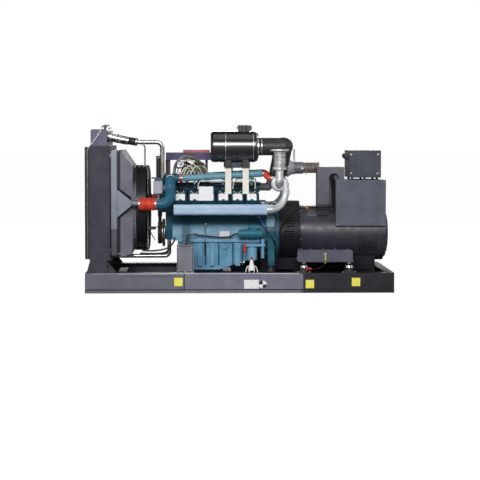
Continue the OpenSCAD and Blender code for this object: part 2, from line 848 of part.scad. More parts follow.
// Room that heads and rocker covers take in the near bank's frame
module bank_room(top) {
    bank_frame() translate([block_x0 - 200, -head_w / 2 - seat, deck_h - 1])
        cube([block_len + 400, head_w + 2 * seat, head_h + top + 1 + seat]);
}

module cylinder_heads() {
    head_l = bore_pitch - head_gap;
    color("#1d4a57") both_banks() bank_frame() each_bore() difference() {
        translate([-head_l / 2, -head_w / 2, deck_h]) cube([head_l, head_w, head_h]);
        // Cast pockets on the outer face
        for (x = [-1, 1]) translate([x * head_l / 4 - 18, -head_w / 2 - 1, deck_h + 14])
            cube([36, 9, 26]);
    }
}

module rocker_covers() {
    cover_l = bore_pitch - 24;
    base_z = deck_h + head_h;
    pad_t = 5;
    color("#173f4b") both_banks() bank_frame() each_bore() {
        translate([-cover_l / 2, 0, base_z]) along_x(cover_l)
            polygon([[-head_w / 2 + 5, 0], [head_w / 2 - 5, 0], [head_w / 2 - 5, 14],
                [head_w / 2 - 12, 18], [head_w / 2 - 22, cover_h], [-head_w / 2 + 22, cover_h],
                [-head_w / 2 + 12, 18], [-head_w / 2 + 5, 14]]);
        difference() {
            translate([-52, -69, base_z + cover_h - 1]) cube([104, 112, pad_t + 1]);
            translate([0, -75, base_z + cover_h - 2]) cylinder(r=20, h=pad_t + 4);
        }
        for (x = [-34, 34]) translate([x, 58, base_z + cover_h - 1])
            cylinder(r=8, h=9);
    }
}

// Exhaust and charge air
man_x0 = block_x0 + 18;
man_x1 = block_x1 + 36;

module exhaust_manifolds() {
    runner_r = 26;
    runner_z = manifold_z - 24;
    color("#b7cde3") both_banks() difference() {
        union() {
            translate([man_x0, -manifold_y - manifold_d / 2, manifold_z - manifold_h / 2])
                along_x(man_x1 - man_x0) round_rect(manifold_d, manifold_h, 32);
            for (i = [0:bank_count - 1]) translate([first_bore_x + i * bore_pitch, 0, 0]) {
                translate([0, -manifold_y, runner_z]) ycyl(runner_r, manifold_y - 360);
                bank_frame() translate([-36, -head_w / 2 - 12, deck_h + 22])
                    cube([72, 12, 86]);
            }
        }
        bank_room(0);
    }
}

riser_stub = 50;
riser_start = [man_x1 + riser_stub, -manifold_y, manifold_z];
riser_turn_x = turbo_x + volute_r - 34;
riser_run = norm([riser_turn_x - riser_start.x, turbine_y - manifold_y]);
riser_top = manifold_z + riser_run;

module exhaust_risers() {
    aim = [(riser_turn_x - riser_start.x) / riser_run, (manifold_y - turbine_y) / riser_run, 0];
    color("#b4b6bb") both_banks() {
        swept(concat([[man_x1 + seat, -manifold_y, manifold_z]],
            [for (a = [0:10:80]) riser_start + riser_run * sin(a) * aim
                + [0, 0, riser_run * (1 - cos(a))]],
            [[riser_turn_x, -turbine_y, riser_top - 12], [riser_turn_x, -turbine_y, riser_top]]),
            riser_r, 24);
        translate([man_x1 + seat, -manifold_y, manifold_z]) xcyl(riser_r + 12, 8);
        translate([riser_turn_x, -turbine_y, riser_top - 30]) cylinder(r=riser_r + 6, h=14);
    }
}

// Spiral casing of a turbine or compressor, about the Z axis
module volute(inner_r, small_r, large_r) {
    steps = 28;
    sides = 16;
    polyhedron(
        points=[for (i = [0:steps]) let (a = 346 * i / steps,
            t = small_r + (large_r - small_r) * i / steps)
            for (j = [0:sides - 1]) let (b = 360 * j / sides, d = inner_r + t + t * cos(b))
                [d * cos(a), d * sin(a), t * sin(b)]],
        faces=tube_faces(steps + 1, sides));
}

module turbochargers() {
    stub_r = 34;
    core_r = volute_r - 2 * stub_r;
    center_y = 38;
    inlet_y = turbine_y - 302;
    color("#a9abb0") both_banks() translate([turbo_x, -turbine_y, turbo_z]) {
        rotate([90, 0, 0]) mirror([0, 1, 0]) volute(core_r, 17, stub_r);
        translate([0, -center_y, 0]) ycyl(core_r + 20, 2 * center_y);
        translate([0, -center_y, 0]) ycyl(exhaust_r + 14, 10);
        // Inlet that stands on the exhaust riser
        translate([volute_r - stub_r, 0, riser_top - turbo_z + seat]) {
            cylinder(r=stub_r, h=turbo_z - riser_top + 17);
            cylinder(r=stub_r + 12, h=12);
        }
        translate([0, center_y - 1, 0]) ycyl(40, comp_y - center_y);
        translate([0, comp_y - 24, 0]) ycyl(58, 44);
        translate([0, comp_y, 0]) rotate([90, 0, 0]) rotate([0, 0, 90]) volute(40, 12, 22);
        translate([0, comp_y, 0]) ycyl(46, inlet_y - comp_y);
        translate([-84, comp_y, 62]) xcyl(22, 84);
    }
}

stack_y = turbine_y + 38 + exhaust_r + 2;
stack_z0 = turbo_z + exhaust_r + 2;
bellows_z0 = turbo_z + 184;
bellows_z1 = bellows_z0 + 174;

module exhaust_stacks() {
    inner_r = bellows_r - 9;
    fold = (bellows_z1 - bellows_z0) / bellows_folds;
    color("#9d9fa3") both_banks() {
        translate([turbo_x, -turbine_y - 38, turbo_z]) rotate([0, 0, -90])
            bend(exhaust_r + 2, exhaust_r);
        translate([turbo_x, -stack_y, 0]) difference() {
            union() {
                translate([0, 0, stack_z0]) cylinder(r=exhaust_r, h=bellows_z0 - stack_z0);
                translate([0, 0, bellows_z0 - 25]) cylinder(r=bellows_r + 10, h=25);
                rotate_extrude() polygon(concat([[0, bellows_z0], [inner_r, bellows_z0]],
                    [for (i = [0:bellows_folds - 1]) each [
                        [bellows_r, bellows_z0 + (i + 0.3) * fold],
                        [bellows_r, bellows_z0 + (i + 0.7) * fold],
                        [inner_r, bellows_z0 + (i + 1) * fold]]],
                    [[0, bellows_z1]]));
                translate([0, 0, bellows_z1]) cylinder(r=flange_r, h=flange_t);
            }
            translate([0, 0, bellows_z0 - 10])
                cylinder(r=exhaust_bore_r, h=bellows_z1 - bellows_z0 + flange_t + 20);
            for (i = [0:flange_holes - 1]) rotate([0, 0, (i + 0.5) * 360 / flange_holes])
                translate([flange_pcd / 2, 0, bellows_z1 - 1])
                    cylinder(r=flange_hole_r, h=flange_t + 2);
        }
    }
}

module intake_manifold() {
    log_y = 118;
    log_z = crank_z + 444;
    log_h = 110;
    plenum_y = 100;
    runner_r = 30;
    color("#2b5866") {
        translate([elbow_x + 60, -log_y, log_z]) along_x(block_x1 - 20 - elbow_x - 60)
            round_rect(2 * log_y, log_h, 28);
        translate([elbow_x - 75, -plenum_y, upper_leg_z - 64]) along_x(150)
            round_rect(2 * plenum_y, 128, 24);
        for (bank = [0, 1]) translate([bank * bank_offset, 0, 0]) mirror([0, bank, 0])
            bank_frame() each_bore() {
                translate([0, head_w / 2 + seat, deck_h + head_h / 2])
                    ycyl(runner_r, 176);
                translate([0, head_w / 2 + seat, deck_h + head_h / 2])
                    ycyl(runner_r + 12, 10);
            }
    }
}

module intake_elbows() {
    low_r = 100;
    high_r = 80;
    color("#2a6c87") both_sides() translate([0, -hose_y, 0]) {
        translate([red_hose_x1 + seat, 0, hose_z])
            xcyl(elbow_r, elbow_x - low_r - red_hose_x1 - seat);
        translate([elbow_x - low_r, 0, hose_z]) bend(low_r, elbow_r);
        translate([elbow_x, 0, hose_z + low_r])
            cylinder(r=elbow_r, h=upper_leg_z - high_r - hose_z - low_r);
        translate([elbow_x, 0, upper_leg_z - high_r]) rotate([0, -90, -90])
            bend(high_r, elbow_r);
        translate([elbow_x, high_r, upper_leg_z])
            ycyl(elbow_r, hose_y - high_r - 100 - seat);
    }
    // Branches that take the charge pipes of both banks
    color("#2a6c87") for (bank = [0, 1]) mirror([0, bank, 0])
        translate([elbow_x, -coolant_y, charge_front.z])
            xcyl(charge_r, charge_front.x - coupling_l - seat - elbow_x + bank * bank_offset);
}

// A hose whose ribs run round it
module ribbed_hose(l, r, ribs) {
    step = l / ribs;
    turned_x() polygon(concat([[0, 0], [0, r - 8]],
        [for (i = [0:ribs - 1]) each [[(i + 0.25) * step, r - 5], [(i + 0.4) * step, r],
            [(i + 0.6) * step, r], [(i + 0.75) * step, r - 5]]],
        [[l, r - 8], [l, 0]]));
}

module charge_hose_mid() {
    a = charge_rear + [2, 0, 0];
    b = comp_out - [seat, 0, 0];
    d = b - a;
    swept([a, a + [10, 0, 0], a + [0.34 * d.x, 0.2 * d.y, 0.2 * d.z],
        a + [0.64 * d.x, 0.8 * d.y, 0.8 * d.z], b - [10, 0, 0], b], charge_r - 5, 16);
}

module charge_hoses() {
    both_sides() color("#d9402c") translate([red_hose_x0, -hose_y, hose_z])
        ribbed_hose(red_hose_x1 - red_hose_x0, hose_r, 7);
    both_banks() color("#d9402c") {
        charge_hose_mid();
        translate(charge_front - [coupling_l, 0, 0]) xcyl(charge_r + 12, coupling_l - 2.5);
    }
}

module charge_pipes() {
    color("#2c7187") both_banks() difference() {
        union() {
            rod(charge_front, charge_rear, charge_r);
            for (i = [1, 3, 5]) translate([first_bore_x + i * bore_pitch, -coolant_y, crank_z + 400])
                cylinder(r=13, h=turbo_z + 70 - crank_z - 400);
        }
        bank_room(cover_h + 5);
    }
}

filter_x0 = block_x0 + 412;
filter_x1 = filter_x0 + filter_len;

module air_filters() {
    cap = 26;
    stub_r = 62;
    color("#141416") both_banks() translate([filter_x0, -filter_y, filter_z]) {
        turned_x() polygon([[0, 0], [0, filter_r - 20], [cap / 2, filter_r - 6],
            [cap, filter_r], [filter_len * 0.16, filter_r], [filter_len * 0.16, filter_r - 4],
            [filter_len * 0.19, filter_r - 4], [filter_len * 0.19, filter_r],
            [filter_len * 0.83, filter_r], [filter_len * 0.83, filter_r - 4],
            [filter_len * 0.86, filter_r - 4], [filter_len * 0.86, filter_r],
            [filter_len - cap, filter_r], [filter_len - cap / 2, filter_r - 8],
            [filter_len, filter_r - 50], [filter_len, 0]]);
        translate([filter_len - 1, 0, 0]) xcyl(duct_r + 4, 15);
        translate([filter_len * 0.714, 0, filter_r - 24]) {
            cylinder(r=stub_r, h=60);
            translate([0, 0, 40]) cylinder(r=stub_r + 6, h=46);
        }
    }
}

module filter_brackets() {
    strap_w = 66;
    strap_t = 8;
    strap_y = 400;
    shelf_z = filter_z - 241;
    color("#ece6cf") both_banks() for (x = [filter_x0 + 185, filter_x0 + 372]) difference() {
        union() {
            translate([x - strap_w / 2, -strap_y, crank_z + 400])
                cube([strap_w, strap_t, shelf_z + strap_t - crank_z - 400]);
            translate([x - strap_w / 2, -strap_y, shelf_z]) cube([strap_w, 230, strap_t]);
            translate([x - 30, -filter_y - 80, shelf_z + 4]) cube([60, 160, 120]);
        }
        translate([filter_x0 - 20, -filter_y, filter_z]) xcyl(filter_r + seat, filter_len + 40);
        bank_room(cover_h + 5);
    }
}

module air_ducts() {
    x1 = turbo_x + 57;
    low_z = turbo_z + 124;
    neck_z = turbo_z + 60;
    comp_face_y = comp_y + 24 - turbine_y;
    color("#17171a") both_banks() difference() {
        translate([0, -filter_y, 0]) {
            run([[filter_x1 + 14 + seat, 0, filter_z], [x1, 0, filter_z],
                [turbo_x, 0, low_z]], duct_r);
            translate([turbo_x, 0, low_z]) sphere(r=duct_r);
            translate([turbo_x, 0, neck_z]) cylinder(r1=48, r2=duct_r - 2, h=low_z - neck_z);
            translate([turbo_x, 0, turbo_z + 52]) cylinder(r=46, h=neck_z - turbo_z - 51);
            translate([turbo_x, seat - 52, turbo_z]) rotate([0, 0, 90]) bend(52 - seat, 46);
        }
        // Room for the compressor's volute and inlet
        translate([turbo_x - 100, comp_face_y - 60, turbo_z]) cube([200, 60, 86]);
        translate([turbo_x, comp_face_y - 1, turbo_z]) ycyl(48, 15);
    }
}

module gas_train() {
    z = turbo_z + 166;
    x0 = turbo_x + 119;
    color("#a3a4a8") {
        run([[block_x1 - 20 + seat, 0, crank_z + 500], [block_x1 + 80, 0, crank_z + 500],
            [x0 - 110, 0, z], [x0, 0, z]], 42);
        translate([x0, 0, z]) turned_x() polygon(concat(
            [[-10, 0], [-10, 100], [8, 100], [20, 88], [60, 68], [74, 68], [74, 62], [80, 66],
                [168, 66], [178, 54], [186, 54]],
            [for (i = [0:8]) each [[190 + i * 15, 60], [197 + i * 15, 60], [200 + i * 15, 52]]],
            [[328, 62], [346, 62], [346, 0]]));
    }
}

module wiring_trough() {
    trough_l = 492;
    trough_z = crank_z + 794;
    y0 = 20;
    x0 = timing_x0 - 2;
    color("#3d3560") {
        translate([x0, y0, trough_z]) cube([trough_l, 100, 83]);
        translate([x0 + 190, y0 + 20, trough_z + 82]) cube([trough_l - 200, 60, 28]);
        translate([x0 + 20, y0 + 36, upper_leg_z + 64]) cube([30, 28, trough_z - upper_leg_z - 63]);
        translate([x0 + trough_l - 60, y0 + 36, crank_z + 554])
            cube([30, 28, trough_z - crank_z - 553]);
    }
}

// Coolant
thermo_y = 80;
coolant_z = crank_z + 426;

module thermostat_housing() {
    base_z = fan_z + 60;
    step_z = fan_z + 114;
    color("#2a5f70") translate([timing_x0 - 60, 0, 0]) along_y(2 * thermo_y)
        polygon([[62, base_z], [134, base_z], [134, step_z + 70], [116, step_z + 82],
            [8, step_z + 82], [0, step_z + 72], [0, step_z], [62, step_z]]);
}

upper_pipe_r = 25;
upper_hose_z = tank_z1 - 134;
upper_hose_x1 = ring_x1 + 8;

module upper_coolant_pipe() {
    bend_r = 62;
    color("#cfd1d4") translate([0, -coolant_y, 0]) {
        translate([upper_hose_x1 + seat, 0, upper_hose_z])
            xcyl(upper_pipe_r, coolant_x - bend_r - upper_hose_x1 - seat);
        translate([coolant_x - bend_r, 0, upper_hose_z]) mirror([0, 0, 1])
            bend(bend_r, upper_pipe_r);
        translate([coolant_x, 0, coolant_z + bend_r])
            cylinder(r=upper_pipe_r, h=upper_hose_z - coolant_z - 2 * bend_r);
        translate([coolant_x, 0, coolant_z + bend_r]) rotate([0, 90, 90])
            bend(bend_r, upper_pipe_r);
        translate([coolant_x, bend_r, coolant_z])
            ycyl(upper_pipe_r, coolant_y - bend_r - thermo_y - seat);
    }
}

module upper_hose() {
    x0 = frame_x0 + 8 + tank_d;
    neck_z = tank_z1 - 78;
    mid = [x0 + 204, -coolant_y, upper_hose_z + 16];
    color("#bfc1c5") {
        translate([x0, -coolant_y, neck_z]) xcyl(60, 20);
        rod([x0 + 9.5, -coolant_y, neck_z], mid, 46);
        rod(mid + [-14, 0, 2], [upper_hose_x1 - 3.9, -coolant_y, upper_hose_z], 36);
    }
}

module lower_coolant_pipe() {
    pipe_r = 22;
    bend_r = 50;
    z = frame_z0 + 7;
    x1 = timing_x0 + 38;
    color("#c4c6ca") translate([0, -150, 0]) {
        translate([frame_x1 + seat, 0, z]) xcyl(pipe_r, x1 - bend_r - frame_x1 - seat);
        translate([frame_x1 + seat, 0, z]) xcyl(pipe_r + 10, 10);
        translate([x1 - bend_r, 0, z]) bend(bend_r, pipe_r);
        translate([x1, 0, z + bend_r]) cylinder(r=pipe_r, h=block_z0 + 10 - seat - z - bend_r);
    }
}

// Rear of the engine
arm_y = 425;
arm_z = cross_top + 102;

module flywheel_housing() {
    rim = 40;
    barrel_r = flywheel_r - 28;
    lug_l = 110;
    color("#2f6f85") {
        translate([block_x1, 0, crank_z]) turned_x() polygon([[0, 0], [0, flywheel_r],
            [rim, flywheel_r], [rim + 8, barrel_r], [flywheel_d - rim - 8, barrel_r],
            [flywheel_d - rim, flywheel_r], [flywheel_d, flywheel_r], [flywheel_d, 0]]);
        // Lifting lugs cast on both sides
        both_sides() translate([block_x1 + 60, 0, crank_z + 76]) difference() {
            translate([-14, -barrel_r - 6, 0]) cube([lug_l - 22, 130, 116]);
            for (x = [8, 52]) translate([x, -barrel_r - 7, 94]) ycyl(11, 30);
        }
    }
}

module engine_mounts() {
    arm_w = 70;
    color("#2c6a80") both_sides() {
        translate([cross_x[1], 0, 0]) along_plate(arm_w)
            polygon([[-arm_y - 50, arm_z], [-arm_y + 50, arm_z],
                [-skirt_y - 42, arm_z + 150], [-skirt_y - 20 - seat, block_z0 + 80],
                [-skirt_y - 35 - seat, crank_z + 104], [-skirt_y - 90, crank_z + 104],
                [-arm_y + 8, arm_z + 60], [-arm_y - 50, arm_z + 18]]);
        translate([cross_x[3], 0, 0]) difference() {
            along_plate(arm_w) polygon([[-arm_y - 50, arm_z], [-arm_y + 70, arm_z],
                [-180, crank_z - 210], [-230, crank_z - 60], [-330, crank_z - 60],
                [-arm_y - 50, arm_z + 50]]);
            translate([-arm_w, 0, crank_z]) xcyl(flywheel_r - 28 + seat, 2 * arm_w);
        }
    }
}

// A profile in Y and Z, as thick as l, centred on X
module along_plate(l) {
    translate([-l / 2, 0, 0]) along_x(l) children();
}

module starter_motor() {
    y = 290;
    z = crank_z + 4;
    x1 = block_x1 - seat;
    l = 250;
    color("#3b7f96") translate([x1 - l, -y, z]) {
        xcyl(starter_r, l - 60);
        translate([4, 0, 0]) xcyl(starter_r - 5, l - 4);
        translate([-6, 0, 0]) xcyl(starter_r - 14, 8);
        translate([l - 150, -12, starter_r + 22]) xcyl(26, 118);
        translate([l - 118, -36, starter_r - 20]) cube([60, 48, 30]);
    }
}

module oil_filters() {
    head_z = block_z0 - 52;
    head_h = 28;
    head_y0 = 392;
    slim_r = 18;
    slim_y = flywheel_r + slim_r + 8;
    color("#86aecb") {
        translate([block_x1 - 180, -head_y0, head_z]) cube([180 - seat, head_y0 - pan_y, head_h]);
        translate([block_x1 - 110, 62 - head_y0, head_z]) {
            translate([0, 0, -145]) cylinder(r=oil_filter_r, h=129);
            translate([0, 0, -153]) cylinder(r=oil_filter_r - 10, h=9);
            translate([0, 0, -17]) cylinder(r=oil_filter_r - 7, h=18);
        }
        // Slim canister on an ear beside the flywheel housing
        translate([block_x1 - 1, -head_y0, head_z]) cube([28, head_y0 - flywheel_r - 4, head_h]);
        translate([block_x1 + 5, -slim_y, head_z - 128]) cylinder(r=slim_r, h=204);
    }
}

// Alternator
module alternator_adaptor() {
    barrel_r = flywheel_r - 10;
    rim = 22;
    hump_w = 240;
    hump_z = crank_z + 352;
    slot_h = 11;
    color("#3a3944") difference() {
        union() {
            translate([adaptor_x0, 0, crank_z]) turned_x() polygon([[0, 0], [0, flywheel_r],
                [rim, flywheel_r], [rim, barrel_r], [adaptor_d - rim, barrel_r],
                [adaptor_d - rim, flywheel_r], [adaptor_d, flywheel_r], [adaptor_d, 0]]);
            translate([adaptor_x0 + 64, -hump_w / 2, crank_z + 200])
                along_x(adaptor_d - 64) round_rect(hump_w, hump_z - crank_z - 200, 20);
        }
        both_sides() {
            for (i = [0:3]) {
                translate([adaptor_x0 + 78, -barrel_r - 10, crank_z + 80 + i * 26])
                    cube([90, 70, slot_h]);
                translate([adaptor_x0 + 50, -barrel_r - 10, crank_z - 60 + i * 28])
                    cube([118, 46, slot_h]);
            }
        }
    }
}

module alternator_body() {
    band = 5;
    vent_h = 9;
    color("#35343f") difference() {
        union() {
            translate([alt_x0, 0, crank_z]) turned_x() polygon([[0, 0], [0, alt_r],
                [36, alt_r], [36, alt_r - band], [44, alt_r - band], [44, alt_r],
                [alt_len - 30, alt_r], [alt_len - 30, alt_r - band], [alt_len - 20, alt_r - band],
                [alt_len - 20, alt_r], [alt_len, alt_r], [alt_len, alt_r - 18],
                [alt_len + bell_d * 0.6, alt_r - 40], [alt_len + bell_d, alt_r - 92],
                [alt_len + bell_d, 0]]);
        }
        // Air inlets low on both sides, in front of the end bell
        both_sides() for (row = [0:7], x = [0, 112])
            translate([alt_x1 - 288 + x, -alt_r - 1, crank_z - 20 - row * 22])
                cube([96, 14 + pow(row, 2) * 1.9, vent_h]);
        translate([alt_x1 + bell_d - 8, 0, crank_z]) for (a = [0:30:330])
            rotate([a, 0, 0]) translate([0, -7, 90]) cube([12, 14, 90]);
    }
}

alt_foot_z0 = rail_h + 116;
mount_y = base_w / 2 - 68;

module alternator_feet() {
    plate_t = 14;
    face_y = mount_y - 12;
    x0 = alt_x0 - 54;
    color("#45444e") both_sides() difference() {
        union() {
            translate([x0, -mount_y - 58, alt_foot_z0])
                cube([alt_foot_len, mount_y + 58 - 190, plate_t]);
            translate([x0, plate_t / 2 - face_y, alt_foot_z0]) along_y(plate_t)
                arched_rect(alt_foot_len, alt_foot_h, 30);
            for (i = [0:4]) translate([x0 + 30 + i * (alt_foot_len - 60) / 4, 0, 0])
                along_plate(12) polygon([[-face_y + 6, alt_foot_z0 + 6],
                    [-face_y + 6, alt_foot_z0 + alt_foot_h - 34],
                    [-250, alt_foot_z0 + alt_foot_h], [-150, alt_foot_z0 + alt_foot_h],
                    [-190, alt_foot_z0 + 6]]);
        }
        translate([x0 - 10, 0, crank_z]) xcyl(alt_r + seat, alt_foot_len + 20);
        translate([adaptor_x0 - 1, 0, crank_z]) xcyl(flywheel_r + seat, adaptor_d + 1 + seat);
    }
}

module rubber_mount(h) {
    base_t = 8;
    translate([-62, -54, 0]) cube([124, 108, base_t]);
    rotate_extrude() polygon([[0, base_t - 1], [mount_r, base_t - 1], [mount_r, base_t + 10],
        [mount_r - 5, h * 0.45], [mount_r - 16, h * 0.72], [mount_r - 22, h - 8],
        [mount_r - 22, h], [0, h]]);
}

module rubber_mounts() {
    color("#8d99a1") both_sides() {
        for (x = alt_mount_x) translate([x, -mount_y, rail_h])
            rubber_mount(alt_foot_z0 - rail_h);
        for (i = [1, 3]) translate([cross_x[i], -arm_y, cross_top]) rotate([0, 0, 90])
            scale(0.8) rubber_mount((arm_z - cross_top) / 0.8);
    }
}

module alternator_cradle() {
    half = 180;
    x0 = alt_x0 - 70;
    l = 890;
    color("#26252c") difference() {
        translate([x0, -half, cross_top]) cube([l, 2 * half, 180]);
        translate([x0 - 10, 0, crank_z]) xcyl(alt_r + seat, l + 20);
        translate([x0 - 10, 0, crank_z]) xcyl(flywheel_r + seat, alt_x0 + seat - x0 + 10);
        for (i = [0:3]) translate([x0 + 60 + i * 200, -half - 1, cross_top + 30])
            cube([150, 2 * half + 2, 60]);
    }
}

module terminal_box() {
    skin = 5;
    h = tbox_top - tbox_z;
    color("#666a74") difference() {
        union() {
            translate([tbox_x0, -tbox_y + skin, tbox_z]) cube([tbox_len, 2 * (tbox_y - skin), h]);
            // Screwed side covers, proud of the frame
            both_sides() translate([tbox_x0 + 8, -tbox_y + skin / 2 + 0.5, tbox_z + 8])
                along_y(skin + 1) round_rect(tbox_len - 16, h - 30, 10);
        }
        translate([tbox_x0 - 10, 0, crank_z]) xcyl(alt_r + seat, tbox_len + 30);
    }
}

module breaker_box() {
    y0 = -250;
    depth = 434;
    z0 = tbox_top + bbox_feet;
    color("#6b6f79") {
        translate([bbox_x0, y0, z0]) cube([bbox_len, depth, bbox_h]);
        translate([bbox_x0 + 10, y0 - 4, z0 + 10]) along_y(9)
            round_rect(bbox_len - 20, bbox_h - 20, 14);
        for (x = [40, bbox_len / 2, bbox_len - 40], y = [40, depth - 40])
            translate([bbox_x0 + x, y0 + y, tbox_top]) cylinder(r=13, h=bbox_feet + 1);
        // Cable gland on the end that faces the engine
        translate([bbox_x0 - 48, y0 + 100, z0 + bbox_h - 62]) {
            xcyl(30, 49);
            translate([24, 0, 0]) xcyl(40, 14);
        }
    }
}

module cable_cabinet() {
    y0 = -250;
    depth = 180;
    foot_z = crank_z + 200;
    step_x = tbox_x0 - seat;
    arch_x = cab_x0 + 181;
    color("#7a7e87") difference() {
        translate([0, y0 + depth / 2, 0]) along_y(depth) polygon([[cab_x0, foot_z],
            [step_x, foot_z], [step_x, tbox_top], [cab_x0 + cab_len, tbox_top],
            [cab_x0 + cab_len, cab_top], [cab_x0, cab_top]]);
        translate([cab_x0 - 10, 0, crank_z]) xcyl(alt_r + seat, cab_len + 20);
        // Arched recess where the cables come up
        translate([arch_x, y0 + 30, cab_top - 69 - arch_w / 2]) {
            rotate([90, 0, 0]) cylinder(r=arch_w / 2, h=80, center=true);
            translate([-arch_w / 2, -40, -500]) cube([arch_w, 80, 500]);
        }
    }
}

// Boxes and cables
jbox_x0 = block_x0 + 51;

module junction_box() {
    y1 = -base_w / 2 + 10;
    foot_t = 12;
    lid = 6;
    color("#8a8790") {
        translate([jbox_x0 - 5, y1, rail_h]) cube([jbox_len + 10, jbox_d, foot_t]);
        translate([jbox_x0, y1, rail_h + foot_t - 1]) cube([jbox_len, jbox_d, jbox_h + 1]);
        translate([jbox_x0 + 12, y1, rail_h + foot_t + 22]) along_y(2 * lid)
            round_rect(jbox_len - 24, jbox_h - 44, 8);
    }
}

// Cable from the junction box to the starter motor
module loom_cable() {
    jbox_top = rail_h + 11 + jbox_h + 1 + seat;
    box_y = -base_w / 2 + 60;
    y = -290;
    color("#1a1a1c") translate([block_x0, 0, 0]) swept([[155, box_y, jbox_top],
        [155, box_y + 2, jbox_top + 21], [159, box_y + 30, jbox_top + 56],
        [170, box_y + 110, jbox_top + 73], [195, y - 50, 594], [215, y, 590],
        [255, y + 18, 582], [502, y + 22, 562], [605, y + 20, 566], [645, y + 10, 580],
        [685, y, 600], [block_len - 256 - 2 * seat, y, 600]], cable_r);
}

// Cable from the terminal box to the base, round the adaptor
module power_cable() {
    pad_top = cross_top + 6.4;
    color("#1a1a1c") translate([adaptor_x0, 0, 0]) swept([
        [tbox_x0 - adaptor_x0 - seat, -316, 890], [468, -322, 884], [267, -328, 880],
        [168, -338, 850], [68, -349, 750], [18, -352, 670], [4, -352, 627], [8, -352, 560],
        [4, -362, 480], [-28, -420, 380], [-44, -455, 300], [-48, -461, 270],
        [-58, -465, 208], [-58, -465, pad_top + seat]], cable_r);
}

side_rail_near();
side_rail_far();
cross_members();
radiator_feet();
radiator_frame();
radiator_core();
front_guard();
header_tank();
filler_cap();
overflow_tube();
charge_cooler();
cooler_tanks();
fan_shroud();
fan_guard();
fan();
fan_shaft();
crank_pulley();
fan_belts();
timing_cover();
crankcase();
oil_pan();
cylinder_heads();
rocker_covers();
exhaust_manifolds();
exhaust_risers();
turbochargers();
exhaust_stacks();
intake_manifold();
intake_elbows();
charge_hoses();
charge_pipes();
air_filters();
filter_brackets();
air_ducts();
gas_train();
wiring_trough();
thermostat_housing();
upper_coolant_pipe();
upper_hose();
lower_coolant_pipe();
flywheel_housing();
engine_mounts();
starter_motor();
oil_filters();
alternator_adaptor();
alternator_body();
alternator_feet();
rubber_mounts();
alternator_cradle();
terminal_box();
breaker_box();
cable_cabinet();
junction_box();
loom_cable();
power_cable();
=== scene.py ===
# %% [markdown]
# # A gas engine generating set
# A radiator, a twelve-cylinder gas engine and an alternator stand in one line on
# a welded skid base. The solids come from the construction model. This lesson
# gives them their real finishes, and adds what a solid model leaves out: bolts,
# clamps, ignition leads, cables, plates and thin pipes.
# Everything is in metres in Blender. Lengths in the tables below are in
# millimetres, as on a workshop drawing, and one factor turns them to metres.

# %% Load the construction model
import json
import math

import bpy
import numpy as np
from mathutils import Matrix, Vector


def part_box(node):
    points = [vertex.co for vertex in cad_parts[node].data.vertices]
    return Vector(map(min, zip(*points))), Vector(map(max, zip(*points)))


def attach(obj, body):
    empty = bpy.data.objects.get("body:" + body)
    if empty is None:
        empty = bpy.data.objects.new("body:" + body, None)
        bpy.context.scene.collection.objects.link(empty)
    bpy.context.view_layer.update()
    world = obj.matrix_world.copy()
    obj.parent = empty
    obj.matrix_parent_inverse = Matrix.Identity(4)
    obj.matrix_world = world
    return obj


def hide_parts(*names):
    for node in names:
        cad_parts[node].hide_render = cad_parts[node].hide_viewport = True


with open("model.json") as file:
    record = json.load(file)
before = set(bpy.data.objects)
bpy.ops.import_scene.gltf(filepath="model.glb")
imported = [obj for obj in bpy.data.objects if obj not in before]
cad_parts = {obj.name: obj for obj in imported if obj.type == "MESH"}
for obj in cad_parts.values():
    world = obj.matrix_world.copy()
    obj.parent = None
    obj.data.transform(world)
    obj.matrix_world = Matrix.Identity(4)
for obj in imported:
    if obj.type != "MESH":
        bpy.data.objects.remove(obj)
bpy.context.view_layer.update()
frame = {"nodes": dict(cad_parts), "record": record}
MM = 0.001

# %% [markdown]
# ## The viewpoint
# The set was photographed square to its long side, from about fourteen metres
# and a little above its middle, with a long lens. Such a lens keeps the upright
# edges upright, and shows only a thin strip of the roof surfaces. The small
# shift places the machine in the frame without tilting the camera.

# %% Camera
def make_camera(place, yaw, pitch, lens, shift):
    """A camera at a place. Yaw turns it from +Y towards +X, pitch turns it down."""
    data = bpy.data.cameras.new("viewpoint")
    data.lens = lens
    data.sensor_width = 36
    data.shift_x, data.shift_y = shift
    data.clip_end = 400
    camera = bpy.data.objects.new("viewpoint", data)
    camera.location = place
    camera.rotation_euler = (math.pi / 2 - pitch, 0, -yaw)
    bpy.context.scene.collection.objects.link(camera)
    bpy.context.scene.camera = camera
    return camera


make_camera((-0.4759, -14.5151, 1.6330), 0.02339, 0.04813, 99.266, (0.03, -0.08))
bpy.context.scene.view_settings.view_transform = "Standard"
print("camera", tuple(round(v, 2) for v in bpy.context.scene.camera.location))

# %% [markdown]
# ## Surfaces from arrays
# A pipe, a bolt and a plate are all the same thing to a mesh: a stack of rings
# with a skin between them. Blender has primitives and curves for this, but a
# stack of rings worked out as one array gives exact sizes, closes both ends and
# takes one line for each shape, so it is used for every new piece here.

# %% Skin over a stack of rings
def outwards(points, faces):
    """The faces, turned over if the volume they enclose comes out negative.
    Volume is the sum of a·(b × c) / 6 over the triangles of each face's fan."""
    fans = np.array([(f[0], f[i], f[i + 1]) for f in faces for i in range(1, len(f) - 1)])
    a, b, c = points[fans[:, 0]], points[fans[:, 1]], points[fans[:, 2]]
    if np.einsum("ij,ij->", a, np.cross(b, c)) < 0:
        faces = [f[::-1] for f in faces]
    return points, faces


